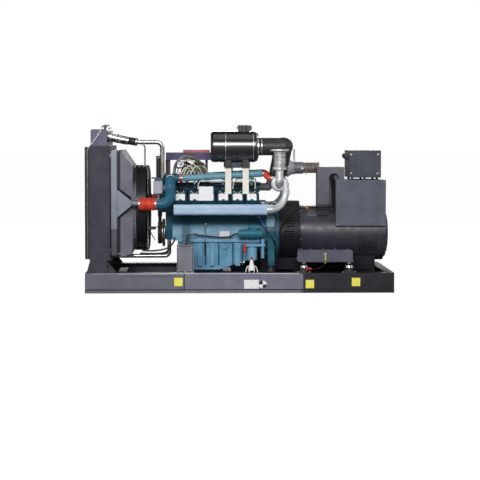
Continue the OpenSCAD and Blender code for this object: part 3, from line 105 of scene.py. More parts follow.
def skin(rings, closed=False):
    """Point j of ring i is joined to point j + 1 and to ring i + 1 by a four-sided
    face. Both ends get one flat face, or the last ring meets the first if closed."""
    rings = np.asarray(rings, float)
    n, k = rings.shape[:2]
    i = np.arange(n * k).reshape(n, k)
    a, b = (i, np.roll(i, -1, 0)) if closed else (i[:-1], i[1:])
    faces = np.stack([a, np.roll(a, -1, 1), np.roll(b, -1, 1), b], -1).reshape(-1, 4).tolist()
    if not closed:
        faces += [i[0, ::-1].tolist(), i[-1].tolist()]
    return outwards(rings.reshape(-1, 3), faces)


def join(*parts):
    """Several shapes as one: each shape's face numbers move up by the points before it."""
    starts = np.cumsum([0] + [len(p) for p, _ in parts[:-1]])
    faces = [[v + int(s) for v in f] for s, (_, fs) in zip(starts, parts) for f in fs]
    return np.concatenate([p for p, _ in parts]), faces

# %% [markdown]
# ## Turned, carried and flat shapes
# Nearly all small parts of an engine are turned on a lathe, drawn along a path
# like a pipe, or cut from plate. Three functions make these three families, and
# a fourth sets copies of a shape wherever the machine has them.

# %% Turned on a lathe, drawn along a path
def turned(profile, sides=28, closed=False):
    """A profile of (height, radius) pairs turned about Z: ring i is
    radius · (cos a, sin a) at its height, for equal steps of the angle a."""
    p = np.asarray(profile, float)
    a = np.linspace(0, 2 * np.pi, sides, endpoint=False)
    x, y = p[:, 1:] * np.cos(a), p[:, 1:] * np.sin(a)
    return skin(np.stack([x, y, np.repeat(p[:, :1], sides, 1)], -1), closed)


def smooth_route(points, steps=8):
    """Catmull-Rom curve through the points. Between p1 and p2 it is half of
    2·p1 + (p2 - p0)·t + (2·p0 - 5·p1 + 4·p2 - p3)·t² + (3·p1 - p0 - 3·p2 + p3)·t³."""
    p = np.asarray(points, float)
    p = np.vstack([2 * p[0] - p[1], p, 2 * p[-1] - p[-2]])
    t = np.linspace(0, 1, steps, endpoint=False)[None, :, None]
    a, b, c, d = (p[i:len(p) - 3 + i, None] for i in range(4))
    q = (2 * b + (c - a) * t + (2 * a - 5 * b + 4 * c - d) * t ** 2
         + (3 * b - a - 3 * c + d) * t ** 3) / 2
    return np.vstack([q.reshape(-1, 3), p[-2]])


def carried(route, radius, sides=12):
    """A circle carried along a route. Ring i is route + radius · (cos a · u + sin a · v),
    where u and v stand square to the route's direction. Radius may change along it."""
    route = np.asarray(route, float)
    d = np.gradient(route, axis=0)
    d /= np.linalg.norm(d, axis=1, keepdims=True)
    aims = np.array([[0.31, 0.87, 0.38], [0.79, -0.47, 0.39], [0.58, -0.58, -0.58],
                     [-0.2, 0.35, 0.92], [0.95, 0.25, -0.2]])
    aim = aims[np.argmin(np.abs(d @ aims.T).max(0))]
    u = np.cross(d, aim)
    u /= np.linalg.norm(u, axis=1, keepdims=True)
    v = np.cross(d, u)
    a = np.linspace(0, 2 * np.pi, sides, endpoint=False)[None, :, None]
    r = np.broadcast_to(np.asarray(radius, float), len(route))[:, None, None]
    return skin(route[:, None] + r * (np.cos(a) * u[:, None] + np.sin(a) * v[:, None]))

# %% Cut from plate, and set in place
def plate(outline, depth, bevel=0.6):
    """An outline in X and Y, drawn out along Z. The first and last ring are pulled
    in towards the outline's middle by the bevel, which rounds both rims."""
    o = np.asarray(outline, float)
    middle = (o.max(0) + o.min(0)) / 2
    half = (o.max(0) - o.min(0)) / 2
    inner = middle + (o - middle) * (1 - bevel / half)
    heights = (0, min(bevel, depth / 3), depth - min(bevel, depth / 3), depth)
    rings = [np.column_stack([q, np.full(len(o), h)])
             for q, h in zip((inner, o, o, inner), heights)]
    return skin(rings)


def round_corners(w, h, r, steps=5):
    """Outline of a rectangle about the origin: four quarter circles of radius r."""
    a = np.linspace(0, np.pi / 2, steps)
    turns = (np.arange(4) * np.pi / 2)[:, None] + a
    cx = np.array([1, -1, -1, 1])[:, None] * (w / 2 - r)
    cy = np.array([1, 1, -1, -1])[:, None] * (h / 2 - r)
    return np.stack([cx + r * np.cos(turns), cy + r * np.sin(turns)], -1).reshape(-1, 2)


def facing(normals):
    """Turning matrices whose third column is the normal. The second column is as near
    to straight up as it can be, so that plates stand upright."""
    n = np.atleast_2d(np.asarray(normals, float))
    n = n / np.linalg.norm(n, axis=1, keepdims=True)
    up = np.where(np.abs(n[:, 2:]) > 0.95, [[0.0, 1.0, 0.0]], [[0.0, 0.0, 1.0]])
    side = np.cross(up, n)
    side /= np.linalg.norm(side, axis=1, keepdims=True)
    return np.stack([side, np.cross(n, side), n], -1)


def placed(part, places, normals=(0, 0, 1)):
    """Copies of a shape: its point p goes to place + matrix · p, with the matrix
    that turns Z to the normal of that place."""
    p, faces = part
    places = np.atleast_2d(np.asarray(places, float))
    frames = np.broadcast_to(facing(normals), (len(places), 3, 3))
    points = (np.einsum("mij,nj->mni", frames, p) + places[:, None]).reshape(-1, 3)
    return points, [[v + s * len(p) for v in f] for s in range(len(places)) for f in faces]


def both_sides(part, shift=0.0):
    """A shape and its mirror image across the set's middle, moved along by shift."""
    p, faces = part
    return join(part, (p * (1, -1, 1) + (shift, 0, 0), [f[::-1] for f in faces]))


shafts = {j["name"]: round(j["pos_m"][2] / MM, 3) for j in frame["record"]["behaviour"]["joints"]}
CRANK, FAN_AXIS = shafts["crank_spin"], shafts["fan_spin"]  # heights of the two shafts
RAIL = round(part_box("side_rail_near")[0][1] / MM, 3)        # near face of the skid's rail
FAR_BANK = 40            # the far bank stands this much nearer to the alternator
X, NEAR, UP = (1, 0, 0), (0, -1, 0), (0, 0, 1)              # the ways a piece may face
print("shafts at", CRANK, FAN_AXIS, "rail face at", RAIL)

# %% A finished piece
def piece(name, part, material, body="plant", sharp=32):
    """Puts a shape in the scene in metres, smooth but for edges over the sharp angle,
    with its finish and the body that it moves with."""
    points, faces = part
    mesh = bpy.data.meshes.new(name)
    mesh.from_pydata((points * MM).tolist(), [], faces)
    mesh.shade_smooth()
    mesh.set_sharp_from_angle(angle=math.radians(sharp))
    mesh.materials.append(material)
    obj = bpy.data.objects.new(name, mesh)
    bpy.context.scene.collection.objects.link(obj)
    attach(obj, body)
    print(name, len(mesh.polygons), "faces")
    return obj

# %% [markdown]
# ## Studio
# The machine was cut out on white. A wide pale floor under a white surround
# gives the same look and still takes the shadow under the skid. One broad soft
# box stands in front and a little above, which draws the long highlights on the
# filter and the alternator. Weaker ones behind keep the far side readable. The
# levels add up to about one, so that a colour renders as it is written.

# %% Colours and one helper for nodes
def linear(code, alpha=True):
    """sRGB hex to linear: c / 12.92 below 0.04045, else ((c + 0.055) / 1.055) ^ 2.4."""
    c = np.array([int(code[i:i + 2], 16) for i in (1, 3, 5)]) / 255
    c = np.where(c < 0.04045, c / 12.92, ((c + 0.055) / 1.055) ** 2.4)
    return (*c.tolist(), 1.0) if alpha else tuple(c.tolist())


def add(tree, kind, settings=None, links=None):
    """One node with its settings and links. A setting is a property or a socket."""
    node = tree.nodes.new("ShaderNode" + kind)
    for key, value in (settings or {}).items():
        if isinstance(key, str) and hasattr(node, key):
            setattr(node, key, value)
        else:
            node.inputs[key].default_value = value
    for key, source in (links or {}).items():
        tree.links.new(source, node.inputs[key])
    return node

# %% Floor, surround and lamps
floor_mesh = bpy.data.meshes.new("studio_floor")
floor_mesh.from_pydata([(-90, -90, 0), (90, -90, 0), (90, 90, 0), (-90, 90, 0)], [], [(0, 1, 2, 3)])
floor = bpy.data.objects.new("studio_floor", floor_mesh)
bpy.context.scene.collection.objects.link(floor)
floor_paint = bpy.data.materials.new("studio floor paint")
floor_paint.use_nodes = True
tree = floor_paint.node_tree
tree.nodes.clear()
path = add(tree, "LightPath")
cream = add(tree, "Mix", {"data_type": "RGBA", 6: linear("#808080"), 7: linear("#fafafa")},
            {0: path.outputs["Is Camera Ray"]})
matt = add(tree, "BsdfDiffuse", {}, {"Color": cream.outputs[2]})
glow = add(tree, "Emission", {"Color": (1, 1, 1, 1), "Strength": 1.03})
share = add(tree, "Math", {"operation": "MULTIPLY", 1: 0.94}, {0: path.outputs["Is Camera Ray"]})
blend = add(tree, "MixShader", {}, {0: share.outputs[0], 1: matt.outputs[0], 2: glow.outputs[0]})
add(tree, "OutputMaterial", {}, {"Surface": blend.outputs[0]})
floor_mesh.materials.append(floor_paint)

world = bpy.data.worlds.new("studio surround")
bpy.context.scene.world = world
world.use_nodes = True
tree = world.node_tree
tree.nodes.clear()
path = add(tree, "LightPath")
seen = add(tree, "Math", {"operation": "MAXIMUM"},
           {0: path.outputs["Is Camera Ray"], 1: path.outputs["Is Transmission Ray"]})
height = add(tree, "SeparateXYZ", {}, {"Vector": add(tree, "TexCoord").outputs["Generated"]})
wall = add(tree, "MapRange", {"From Min": 0.08, "From Max": 0.45, "To Min": 0.6, "To Max": 0.05},
           {"Value": height.outputs["Z"]})
shine = add(tree, "Math", {"operation": "MULTIPLY"},
            {0: path.outputs["Is Glossy Ray"], 1: wall.outputs[0]})
fill = add(tree, "Math", {"operation": "MULTIPLY", 1: 0.14}, {0: path.outputs["Is Diffuse Ray"]})
best = add(tree, "Math", {"operation": "MAXIMUM"}, {0: seen.outputs[0], 1: shine.outputs[0]})
level = add(tree, "Math", {"operation": "MAXIMUM"}, {0: best.outputs[0], 1: fill.outputs[0]})
back = add(tree, "Background", {"Color": (1, 1, 1, 1)}, {"Strength": level.outputs[0]})
add(tree, "OutputWorld", {}, {"Surface": back.outputs[0]})


def soft_box(name, place, aim, width, height, power):
    """A rectangular lamp at a place that faces a point."""
    data = bpy.data.lights.new(name, "AREA")
    data.shape, data.size, data.size_y, data.energy = "RECTANGLE", width, height, power
    lamp = bpy.data.objects.new(name, data)
    m = facing(np.subtract(place, aim))[0]
    lamp.matrix_world = Matrix([[*m[i], place[i]] for i in range(3)] + [[0, 0, 0, 1]])
    bpy.context.scene.collection.objects.link(lamp)


soft_box("front_box", (-1.5, -12.5, 6.0), (0, 0, 0.8), 9.0, 4.4, 900)
soft_box("strip_box", (-0.5, -12.4, 5.3), (0, 0, 1.0), 9.0, 1.5, 320)
soft_box("top_box", (0.0, -1.5, 7.5), (0, 0, 0), 7.0, 5.0, 60)
soft_box("back_box", (1.0, 11.5, 5.0), (0, 0, 0.8), 8.0, 3.0, 600)
soft_box("left_box", (-9.5, -3.0, 4.0), (0, 0, 0.8), 4.0, 4.0, 150)
soft_box("right_box", (9.5, -2.0, 4.0), (0, 0, 0.8), 4.0, 4.0, 130)
print("studio ready")

# %% [markdown]
# ## Paint
# Most of the machine is sprayed: two-pack enamel on the skid and the alternator,
# engine paint on the castings. A sprayed coat has a fine orange-peel ripple, a
# slow change of shade from one pass of the gun to the next, a little dust on
# what faces up, and dull rubbed patches. Image textures could show that, but
# noise on the object's own coordinates has no seams and stays sharp from any
# distance, so every coat here is made of it.

# %% Sprayed enamel
def start_finish(name, rough, metallic=0.0, level=0.5):
    """A material with its shader and the object's coordinates."""
    m = bpy.data.materials.new(name)
    m.use_nodes = True
    t = m.node_tree
    t.nodes.clear()
    shader = add(t, "BsdfPrincipled",
                 {"Roughness": rough, "Metallic": metallic, "Specular IOR Level": level})
    add(t, "OutputMaterial", {}, {"Surface": shader.outputs[0]})
    return m, t, shader, add(t, "TexCoord").outputs["Object"]


def shades(t, where, size, dark, light, detail=3.0, low=0.35, high=0.65):
    """Slow change between two colours, with patches of about that size in metres."""
    noise = add(t, "TexNoise", {"Scale": 1 / size, "Detail": detail}, {"Vector": where})
    share = add(t, "MapRange", {"From Min": low, "From Max": high}, {"Value": noise.outputs["Fac"]})
    return add(t, "Mix", {"data_type": "RGBA", 6: linear(dark), 7: linear(light)},
               {0: share.outputs[0]}).outputs[2]


def over(t, base, top, share):
    """A second colour over the first one, by a share from 0 to 1."""
    m = add(t, "Mix", {"data_type": "RGBA", 7: linear(top)}, {0: share, 6: base})
    return m.outputs[2]


def ripple(t, shader, where, size, height, strength=0.35, detail=2.0):
    """Bump from noise: waves of that size and height in metres."""
    noise = add(t, "TexNoise", {"Scale": 1 / size, "Detail": detail}, {"Vector": where})
    bump = add(t, "Bump", {"Strength": strength, "Distance": height},
               {"Height": noise.outputs["Fac"]})
    t.links.new(bump.outputs[0], shader.inputs["Normal"])
    return bump


def worn(t, shader, where, size, low, high):
    """Roughness that wanders between two values over patches of that size."""
    noise = add(t, "TexNoise", {"Scale": 1 / size, "Detail": 5.0}, {"Vector": where})
    rough = add(t, "MapRange", {"From Min": 0.3, "From Max": 0.7, "To Min": low, "To Max": high},
                {"Value": noise.outputs["Fac"]})
    t.links.new(rough.outputs[0], shader.inputs["Roughness"])


def enamel(name, dark, light, rough=0.42, dust_and_shade="#8f8b84", dust_and_shade_share=0.16, level=0.22):
    """Sprayed coat: passes of the gun 160 mm wide, orange peel 5 mm wide and 0.2 mm
    high, rubbed patches of 60 mm, and a tint where the surface faces up: a pale
    dusting on most coats, a dark painted shade on the shroud."""
    m, t, shader, where = start_finish(name, rough, level=level)
    colour = shades(t, where, 0.16, dark, light)
    normal = add(t, "NewGeometry").outputs["Normal"]
    up = add(t, "SeparateXYZ", {}, {"Vector": normal}).outputs["Z"]
    dust_and_shade_noise = add(t, "TexNoise", {"Scale": 26.0, "Detail": 6.0, "Roughness": 0.65},
                {"Vector": where}).outputs["Fac"]
    lying = add(t, "MapRange", {"From Min": 0.5, "From Max": 1.0, "To Max": dust_and_shade_share * 2},
                {"Value": up}).outputs[0]
    share = add(t, "Math", {"operation": "MULTIPLY"}, {0: dust_and_shade_noise, 1: lying}).outputs[0]
    colour = over(t, colour, dust_and_shade, share)
    t.links.new(colour, shader.inputs["Base Color"])
    worn(t, shader, where, 0.06, rough - 0.08, rough + 0.1)
    ripple(t, shader, where, 0.005, 0.0002)
    return m

# %% The machine's coats
paint = {
    "radiator": enamel("black two-pack enamel", "#3a3a44", "#464651", 0.45),
    "tank": enamel("grey-violet two-pack enamel", "#64667a", "#707286", 0.42),
    "cross": enamel("black primer on rolled steel", "#1d1c22", "#29282f", 0.6,
                    dust_and_shade_share=0.03, level=0.1),
    # The shroud is flat-stoved; the dark tint on its slanted roof is painted shade
    "shroud": enamel("grey stoved enamel with painted shade on its roof", "#7f7f8c", "#8d8d9b", 0.5,
                     "#4a4644", 3.0, level=0.03),
    "teal": enamel("dark teal engine paint", "#1d4a5a", "#2a6072", 0.34),
    "cover": enamel("dark teal paint on rocker covers", "#1b414f", "#275767", 0.34),
    "pan": enamel("blue engine paint on pressed steel", "#6ca2c4", "#80b4d2", 0.36),
    "jacket": enamel("pale blue paint on water jacket", "#a6c3e0", "#bad2ea", 0.34),
    "elbow": enamel("deep blue-green pipe enamel", "#255c76", "#306d88", 0.3),
    "charge": enamel("teal pipe enamel", "#276a80", "#347e93", 0.28),
    "trough": enamel("violet stoved enamel", "#554d6c", "#625979", 0.5),
    "brown": enamel("brown primer", "#5e4340", "#6d504b", 0.55),
    "generator": enamel("charcoal two-pack enamel", "#32323d", "#3d3d49", 0.36, level=0.5),
    "box": enamel("grey textured powder coat", "#464a54", "#525660", 0.5),
    "junction": enamel("grey-violet hammered enamel", "#7a7a86", "#878794", 0.45),
    "cream": enamel("cream zinc passivate", "#f3efe0", "#fbf8ef", 0.42, dust_and_shade_share=0.04),
    "red": enamel("red oxide strip", "#b5686b", "#c27577", 0.5),
    "white": enamel("white enamelled plate", "#f6f7f8", "#fcfcfd", 0.35, dust_and_shade_share=0.02),
    "yellow": enamel("yellow vinyl", "#fff160", "#fff87c", 0.4, dust_and_shade_share=0.0),
    "orange": enamel("orange nylon tag", "#d4622c", "#e0733a", 0.5, dust_and_shade_share=0.05),
    "adaptor": enamel("black two-pack enamel on the adaptor", "#15151c", "#1e1e26", 0.42),
    "panel": enamel("grey powder coat on the terminal box", "#5b5f6b", "#686c78", 0.5),
    "foot": enamel("grey two-pack enamel on the feet", "#585968", "#656675", 0.42),
    "pipe": enamel("light teal pipe enamel", "#5d94a8", "#74a8ba", 0.28),
    # A painted highlight: the lit top edge of the rail.
    "lip": enamel("pale paint for the highlight along the rail's edge", "#c9c9d2", "#e6e6ea", 0.4),
    "pale": enamel("pale grey die-cast housing", "#a9abb8", "#bbbdc9", 0.45),
    "pale_teal": enamel("pale teal engine paint", "#7fa3b3", "#95b7c5", 0.36),
    "web": enamel("grey-violet enamel on the web plate", "#777786", "#848494", 0.42),
}

# %% [markdown]
# The long skid rails are sprayed last. Their near face is palest on the middle web
# plate, and darkens to a painted shade where the rail runs out behind the alternator.
# That change follows the length of the rail, so it is a colour ramp along X under the
# same spray noise. The rail's inner faces take a painted shade as well.

# %% Colour that changes along the machine
def along_axis(t, where, axis, stops):
    """Colour ramp over one coordinate. Stops are (metres, colour), in order."""
    low, high = stops[0][0], stops[-1][0]
    value = add(t, "SeparateXYZ", {}, {"Vector": where}).outputs[axis]
    share = add(t, "MapRange", {"From Min": low, "From Max": high}, {"Value": value})
    ramp = add(t, "ValToRGB", {}, {"Fac": share.outputs[0]})
    ends = ramp.color_ramp.elements
    for i, (at, colour) in enumerate(stops):
        stop = ends[i] if i < 2 else ends.new(1.0)
        stop.position = (at - low) / (high - low)
        stop.color = linear(colour)
    return ramp.outputs["Color"]


def graded_enamel(name, axis, stops, rough=0.42, metallic=0.0, inside=None):
    """Sprayed coat whose colour follows a ramp, darkened by up to a sixth in patches.
    Between the two inside distances from the set's middle it falls to a fifth of
    that, a painted shade on the inner side of a rail."""
    m, t, shader, where = start_finish(name, rough, metallic, 0.4)
    base = along_axis(t, where, axis, stops)
    noise = add(t, "TexNoise", {"Scale": 7.0, "Detail": 5.0, "Roughness": 0.6},
                {"Vector": where}).outputs["Fac"]
    depth = add(t, "MapRange", {"From Min": 0.35, "From Max": 0.65, "To Min": 0.84, "To Max": 1.05},
                {"Value": noise}).outputs[0]
    if inside:
        across = add(t, "SeparateXYZ", {}, {"Vector": where}).outputs["Y"]
        away = add(t, "Math", {"operation": "ABSOLUTE"}, {0: across}).outputs[0]
        fall = add(t, "MapRange", {"From Min": inside[0], "From Max": inside[1], "To Min": 0.2},
                   {"Value": away}).outputs[0]
        depth = add(t, "Math", {"operation": "MULTIPLY"}, {0: depth, 1: fall}).outputs[0]
    grey = add(t, "CombineColor", {}, {0: depth, 1: depth, 2: depth}).outputs[0]
    colour = add(t, "Mix", {"data_type": "RGBA", "blend_type": "MULTIPLY", 0: 1.0},
                 {6: base, 7: grey}).outputs[2]
    t.links.new(colour, shader.inputs["Base Color"])
    worn(t, shader, where, 0.05, rough - 0.08, rough + 0.1)
    ripple(t, shader, where, 0.005, 0.0002)
    return m


# Painted shade: the ramp darkens past 0.62 m towards the alternator, and the inner faces fall to a
# fifth.
paint["rail"] = graded_enamel("grey-violet rail enamel with painted shade", "X", [
    (-1.63, "#6d6d79"), (-0.60, "#777785"), (-0.58, "#838393"), (0.62, "#7b7b8a"),
    (0.68, "#2c2c33"), (1.63, "#232329")], inside=(0.600, 0.640))
paint["cooler"] = graded_enamel("blue-grey enamel on the cooler's tanks", "Z", [
    (0.40, "#4c4c57"), (0.672, "#565661"), (0.682, "#868b9b"), (1.50, "#9499a8")])
paint["gas"] = graded_enamel("cast metals of the gas train", "X", [
    (0.23, "#6e7078"), (0.50, "#b4b5ba"), (0.535, "#e0e1e4"), (0.60, "#b8b9be"),
    (0.62, "#7a7d87"), (0.715, "#80838d"), (0.735, "#887d70"), (0.86, "#8e8376"),
    (0.90, "#a39c90")], 0.45, 0.15)
paint["cabinet"] = graded_enamel("grey powder coat, dark at the foot", "Z", [
    (0.79, "#24242b"), (0.905, "#28282f"), (0.93, "#5f5f69"), (1.32, "#6b6b76")], 0.5)
# Painted shade: the crankcase turns dark teal above 0.70 m, where the water jackets shade it.
paint["block"] = graded_enamel("sky-blue engine paint, painted shade under the jackets", "Z", [
    (0.50, "#7fb2d2"), (0.60, "#9cc5e0"), (0.665, "#92bbd6"), (0.70, "#4d7f96"),
    (0.74, "#2f5868"), (1.20, "#24424f")], 0.36)
print("coats", len(paint))

# %% [markdown]
# ## Bare metals
# The coolant pipes are polished and chromed, the exhaust is stainless steel that
# has been hot, the pulleys are raw cast iron and the core is a pack of pressed
# aluminium fins. A metal takes nearly all its colour from what it mirrors, so
# these differ mainly in roughness, and in how the surface was worked.

# %% Metals
def bright_metal(name, dark, light, rough, grain, height, metallic=1.0, patch=0.09):
    """Worked metal: a tint that drifts over patches of stain, and grain as bump."""
    m, t, shader, where = start_finish(name, rough, metallic)
    t.links.new(shades(t, where, patch, dark, light, 4.0), shader.inputs["Base Color"])
    worn(t, shader, where, 0.03, rough * 0.75, rough * 1.35)
    ripple(t, shader, where, grain, height, 0.3, 4.0)
    return m


metal = {
    "chrome": bright_metal("polished chromed tube", "#b9b2a4", "#e9e8e6", 0.18, 0.012, 0.00003),
    "steel": bright_metal("hot-worked stainless steel", "#cfd0d2", "#ededee", 0.42, 0.0022, 0.0002,
                          0.85),
    "cast": bright_metal("silvered cast iron", "#ced1d6", "#ebeef2", 0.48, 0.003, 0.0004, 0.6),
    "zinc": bright_metal("bright zinc-plated steel", "#c3c5c8", "#eeeeec", 0.28, 0.0015, 0.00005),
    "shaft": bright_metal("ground shaft steel", "#8e9094", "#b9bbbe", 0.3, 0.0015, 0.00005),
    "brass": bright_metal("dulled brass", "#6b6256", "#9a8a68", 0.42, 0.002, 0.0001, 0.8),
    "iron": bright_metal("rusted cast iron", "#4d3836", "#7c5a54", 0.6, 0.0025, 0.0004, 0.35),
    "plate": bright_metal("etched aluminium plate", "#77787d", "#8e8f94", 0.4, 0.001, 0.00004, 0.8),
}


def fin_pack():
    """Pressed fins between upright tubes. A real gap is 2 mm; here tubes stand 22 mm
    apart and fins 9 mm, as fine as the picture can show."""
    m, t, shader, where = start_finish("pressed aluminium fin pack", 0.5, 0.6)
    tubes = add(t, "TexWave", {"bands_direction": "Y", "Scale": 2 * math.pi / 20 / 0.022,
                               "Distortion": 0.4, "Detail": 1.0}, {"Vector": where})
    fins = add(t, "TexWave", {"bands_direction": "Z", "Scale": 2 * math.pi / 20 / 0.009,
                              "Distortion": 0.6}, {"Vector": where})
    both = add(t, "Math", {"operation": "MULTIPLY"},
               {0: tubes.outputs["Fac"], 1: fins.outputs["Fac"]}).outputs[0]
    mix = add(t, "Mix", {"data_type": "RGBA", 6: linear("#2b2a29"), 7: linear("#9a9a9c")},
              {0: both})
    t.links.new(mix.outputs[2], shader.inputs["Base Color"])
    bump = add(t, "Bump", {"Strength": 0.8, "Distance": 0.003}, {"Height": both})
    t.links.new(bump.outputs[0], shader.inputs["Normal"])
    return m


metal["fins"] = fin_pack()
print("metals", len(metal))

# %% [markdown]
# ## Rubber and plastics
# Hoses are rubber wrapped in cloth while it cures, which leaves a faint weave on
# the surface. The red ones are silicone, slightly translucent and glossier. The
# filter housing is a gloss black moulding, the fan a dull black one.

# %% Rubber and plastics
def moulded(name, dark, light, rough, grain, height, coat=0.0, sheen=0.0, level=0.5):
    """Moulded skin: near-even colour, fine grain, and a clear coat where it is glossy."""
    m, t, shader, where = start_finish(name, rough, level=level)
    shader.inputs["Coat Weight"].default_value = coat
    shader.inputs["Coat Roughness"].default_value = 0.14
    shader.inputs["Coat IOR"].default_value = 1.85
    shader.inputs["Sheen Weight"].default_value = sheen
    t.links.new(shades(t, where, 0.07, dark, light, 4.0), shader.inputs["Base Color"])
    worn(t, shader, where, 0.02, rough * 0.8, rough * 1.3)
    ripple(t, shader, where, grain, height, 0.4, 3.0)
    return m


def cloth_wrapped(name, dark, light, rough, depth=0.0004, pitch=0.003):
    """Hose skin with the print of the curing cloth: two crossed waves, 3 mm apart."""
    m, t, shader, where = start_finish(name, rough, level=0.4)
    t.links.new(shades(t, where, 0.05, dark, light, 4.0), shader.inputs["Base Color"])
    scale = 2 * math.pi / 20 / pitch
    warp, weft = (add(t, "TexWave", {"bands_direction": d, "Scale": scale, "Distortion": 1.0},
                      {"Vector": where}).outputs["Fac"] for d in ("X", "DIAGONAL"))
    weave = add(t, "Math", {"operation": "MULTIPLY"}, {0: warp, 1: weft}).outputs[0]
    bump = add(t, "Bump", {"Strength": 0.3, "Distance": depth}, {"Height": weave})
    t.links.new(bump.outputs[0], shader.inputs["Normal"])
    worn(t, shader, where, 0.03, rough * 0.8, rough * 1.25)
    return m


skinned = {
    "red": moulded("red silicone hose", "#cf3422", "#e44e38", 0.34, 0.004, 0.00006, 0.25),
    "black": cloth_wrapped("black rubber hose", "#1c1b1d", "#2a292c", 0.5),
    "duct": moulded("black rubber air duct", "#2c2a26", "#3c3934", 0.45, 0.004, 0.0004),
    "filter": moulded("gloss black filter housing", "#0c0c0d", "#131315", 0.3, 0.006, 0.00003, 1.0),
    "nylon": moulded("black nylon fan", "#111113", "#1c1c1f", 0.5, 0.002, 0.0001),
    "wire": moulded("black dipped wire", "#101013", "#1b1b20", 0.38, 0.003, 0.0002),
    "belt": moulded("drive belt rubber", "#121212", "#1e1d1d", 0.62, 0.0012, 0.0002),
    "mount": moulded("moulded mount rubber", "#2a292c", "#3b3a3d", 0.6, 0.0025, 0.0003),
    "sheath": moulded("black cable sheath", "#0c0c0e", "#17171a", 0.55, 0.002, 0.0001, level=0.2),
    "blue": moulded("blue shrink sleeve", "#1f4fa8", "#3468c4", 0.35, 0.002, 0.0001),
    "boot": moulded("red terminal boot", "#a81f1f", "#c8332c", 0.4, 0.002, 0.0001),
    "green": moulded("yellow-green earth sleeve", "#8da32b", "#d9cf3c", 0.45, 0.002, 0.0001),
    "olive": moulded("olive rubber tube", "#67694a", "#7f8062", 0.45, 0.002, 0.0001),
    "grey": moulded("grey corrugated tube", "#6f7276", "#8d9094", 0.45, 0.003, 0.0003),
    "ivory": moulded("ivory plastic tube", "#d8d4c2", "#ece9dc", 0.4, 0.002, 0.0001),
}
print("skins", len(skinned))

# %% [markdown]
# ## Finishes for the solids
# Most solids keep their shape from the construction model and only take their
# finish here. The cables and hoses are made anew further down, because a smooth
# or ribbed skin shows on them.

# %% Paint the construction model
finishes = {
    "side_rail_near": paint["rail"], "side_rail_far": paint["rail"],
    "cross_members": paint["cross"], "radiator_feet": paint["radiator"],
    "radiator_frame": paint["radiator"], "radiator_core": metal["fins"],
    "front_guard": skinned["wire"], "header_tank": paint["tank"], "filler_cap": metal["brass"],
    "overflow_tube": metal["chrome"], "charge_cooler": metal["fins"],
    "cooler_tanks": paint["cooler"], "fan_shroud": paint["shroud"],
    "fan_guard": skinned["wire"], "fan": skinned["nylon"], "fan_shaft": metal["shaft"],
    "crank_pulley": metal["iron"], "fan_belts": skinned["belt"], "timing_cover": paint["teal"],
    "crankcase": paint["block"], "oil_pan": paint["pan"], "cylinder_heads": paint["cover"],
    "rocker_covers": paint["cover"], "exhaust_manifolds": paint["jacket"],
    "exhaust_risers": metal["cast"], "turbochargers": metal["cast"],
    "exhaust_stacks": metal["steel"], "intake_manifold": paint["teal"],
    "intake_elbows": paint["elbow"], "charge_hoses": skinned["red"],
    "charge_pipes": paint["pipe"], "air_filters": skinned["filter"],
    "filter_brackets": paint["cream"], "air_ducts": skinned["duct"],
    "gas_train": paint["gas"], "wiring_trough": paint["trough"],
    "thermostat_housing": paint["teal"], "upper_coolant_pipe": metal["chrome"],
    "upper_hose": metal["chrome"], "lower_coolant_pipe": metal["chrome"],
    "flywheel_housing": paint["teal"], "engine_mounts": paint["teal"],
    "starter_motor": paint["charge"], "oil_filters": paint["pan"],
    "alternator_adaptor": paint["adaptor"], "alternator_body": paint["generator"],
    "alternator_feet": paint["foot"], "rubber_mounts": skinned["mount"],
    "alternator_cradle": paint["cross"], "terminal_box": paint["panel"],
    "breaker_box": paint["box"], "cable_cabinet": paint["cabinet"],
    "junction_box": paint["junction"], "loom_cable": skinned["sheath"],
    "power_cable": skinned["sheath"],
}
for name, obj in frame["nodes"].items():
    slots = obj.data.materials
    if len(slots):
        for i in range(len(slots)):
            slots[i] = finishes[name]
    else:
        slots.append(finishes[name])
print("painted", len(finishes), "of", len(frame["nodes"]))

# %% [markdown]
# ## Cables
# Two cables hang on the near side: one from the junction box to the starter
# motor, and one from the terminal box down past the adaptor to the skid. They
# are fixed at both ends and keep their length, so each is one smooth curve
# through the points of the construction model's cable, with a slight sag. A
# Bezier would also do, but a Catmull-Rom curve passes through every point.

# %% Cables of the construction model
def cable(name, points, radius, node=None, material="sheath"):
    """A cable of that radius on a smooth curve."""
    route = smooth_route(points, 6)
    obj = piece(name, carried(route, radius, 12), skinned[material], sharp=60)
    if node:
        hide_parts(node)
    return obj


starter_route = [(-560, -590, 508.3), (-560, -590, 520), (-559, -584, 547), (-557, -567, 571),
                 (-554, -542, 587), (-549, -510, 594), (-536, -430, 596), (-518, -350, 595),
                 (-494, -303, 592), (-452, -277, 586), (-380, -268, 578), (-213, -268, 563),
                 (-110, -270, 566), (-70, -280, 580), (-30, -290, 600), (-6.6, -290, 600)]
base_route = [(1041.7, -316, 890), (900, -322, 884), (699, -328, 880), (600, -338, 850),
              (500, -349, 750), (450, -352, 670), (436, -352, 627), (440, -352, 560),
              (436, -362, 480), (404, -420, 380), (388, -455, 300), (384, -461, 270),
              (374, -465, 208), (374, -465, 176.7)]
cable("starter_cable", starter_route, 7, "loom_cable")
cable("base_cable", base_route, 7, "power_cable")

# %% [markdown]
# ## Red hoses and their clamps
# The charge air passes from the cooler to the engine through ribbed silicone
# hoses. A rib is a hump that runs round the hose, so the hose is a turned shape
# whose radius rises and falls along it. Each end sits under a steel band whose
# worm screw stands in a small housing.

# %% Charge air hoses
def ribbed(length, radius, ribs, rib):
    """Hose about Z: its radius is radius + rib · sin² over the middle, flat at the cuffs."""
    h = np.linspace(0, length, 14 * ribs)
    cuff = length * 0.13
    s = np.clip((h - cuff) / (length - 2 * cuff), 0, 1)
    r = radius + rib * np.sin(np.pi * ribs * s) ** 2
    return turned(np.column_stack([h, r]), 48)


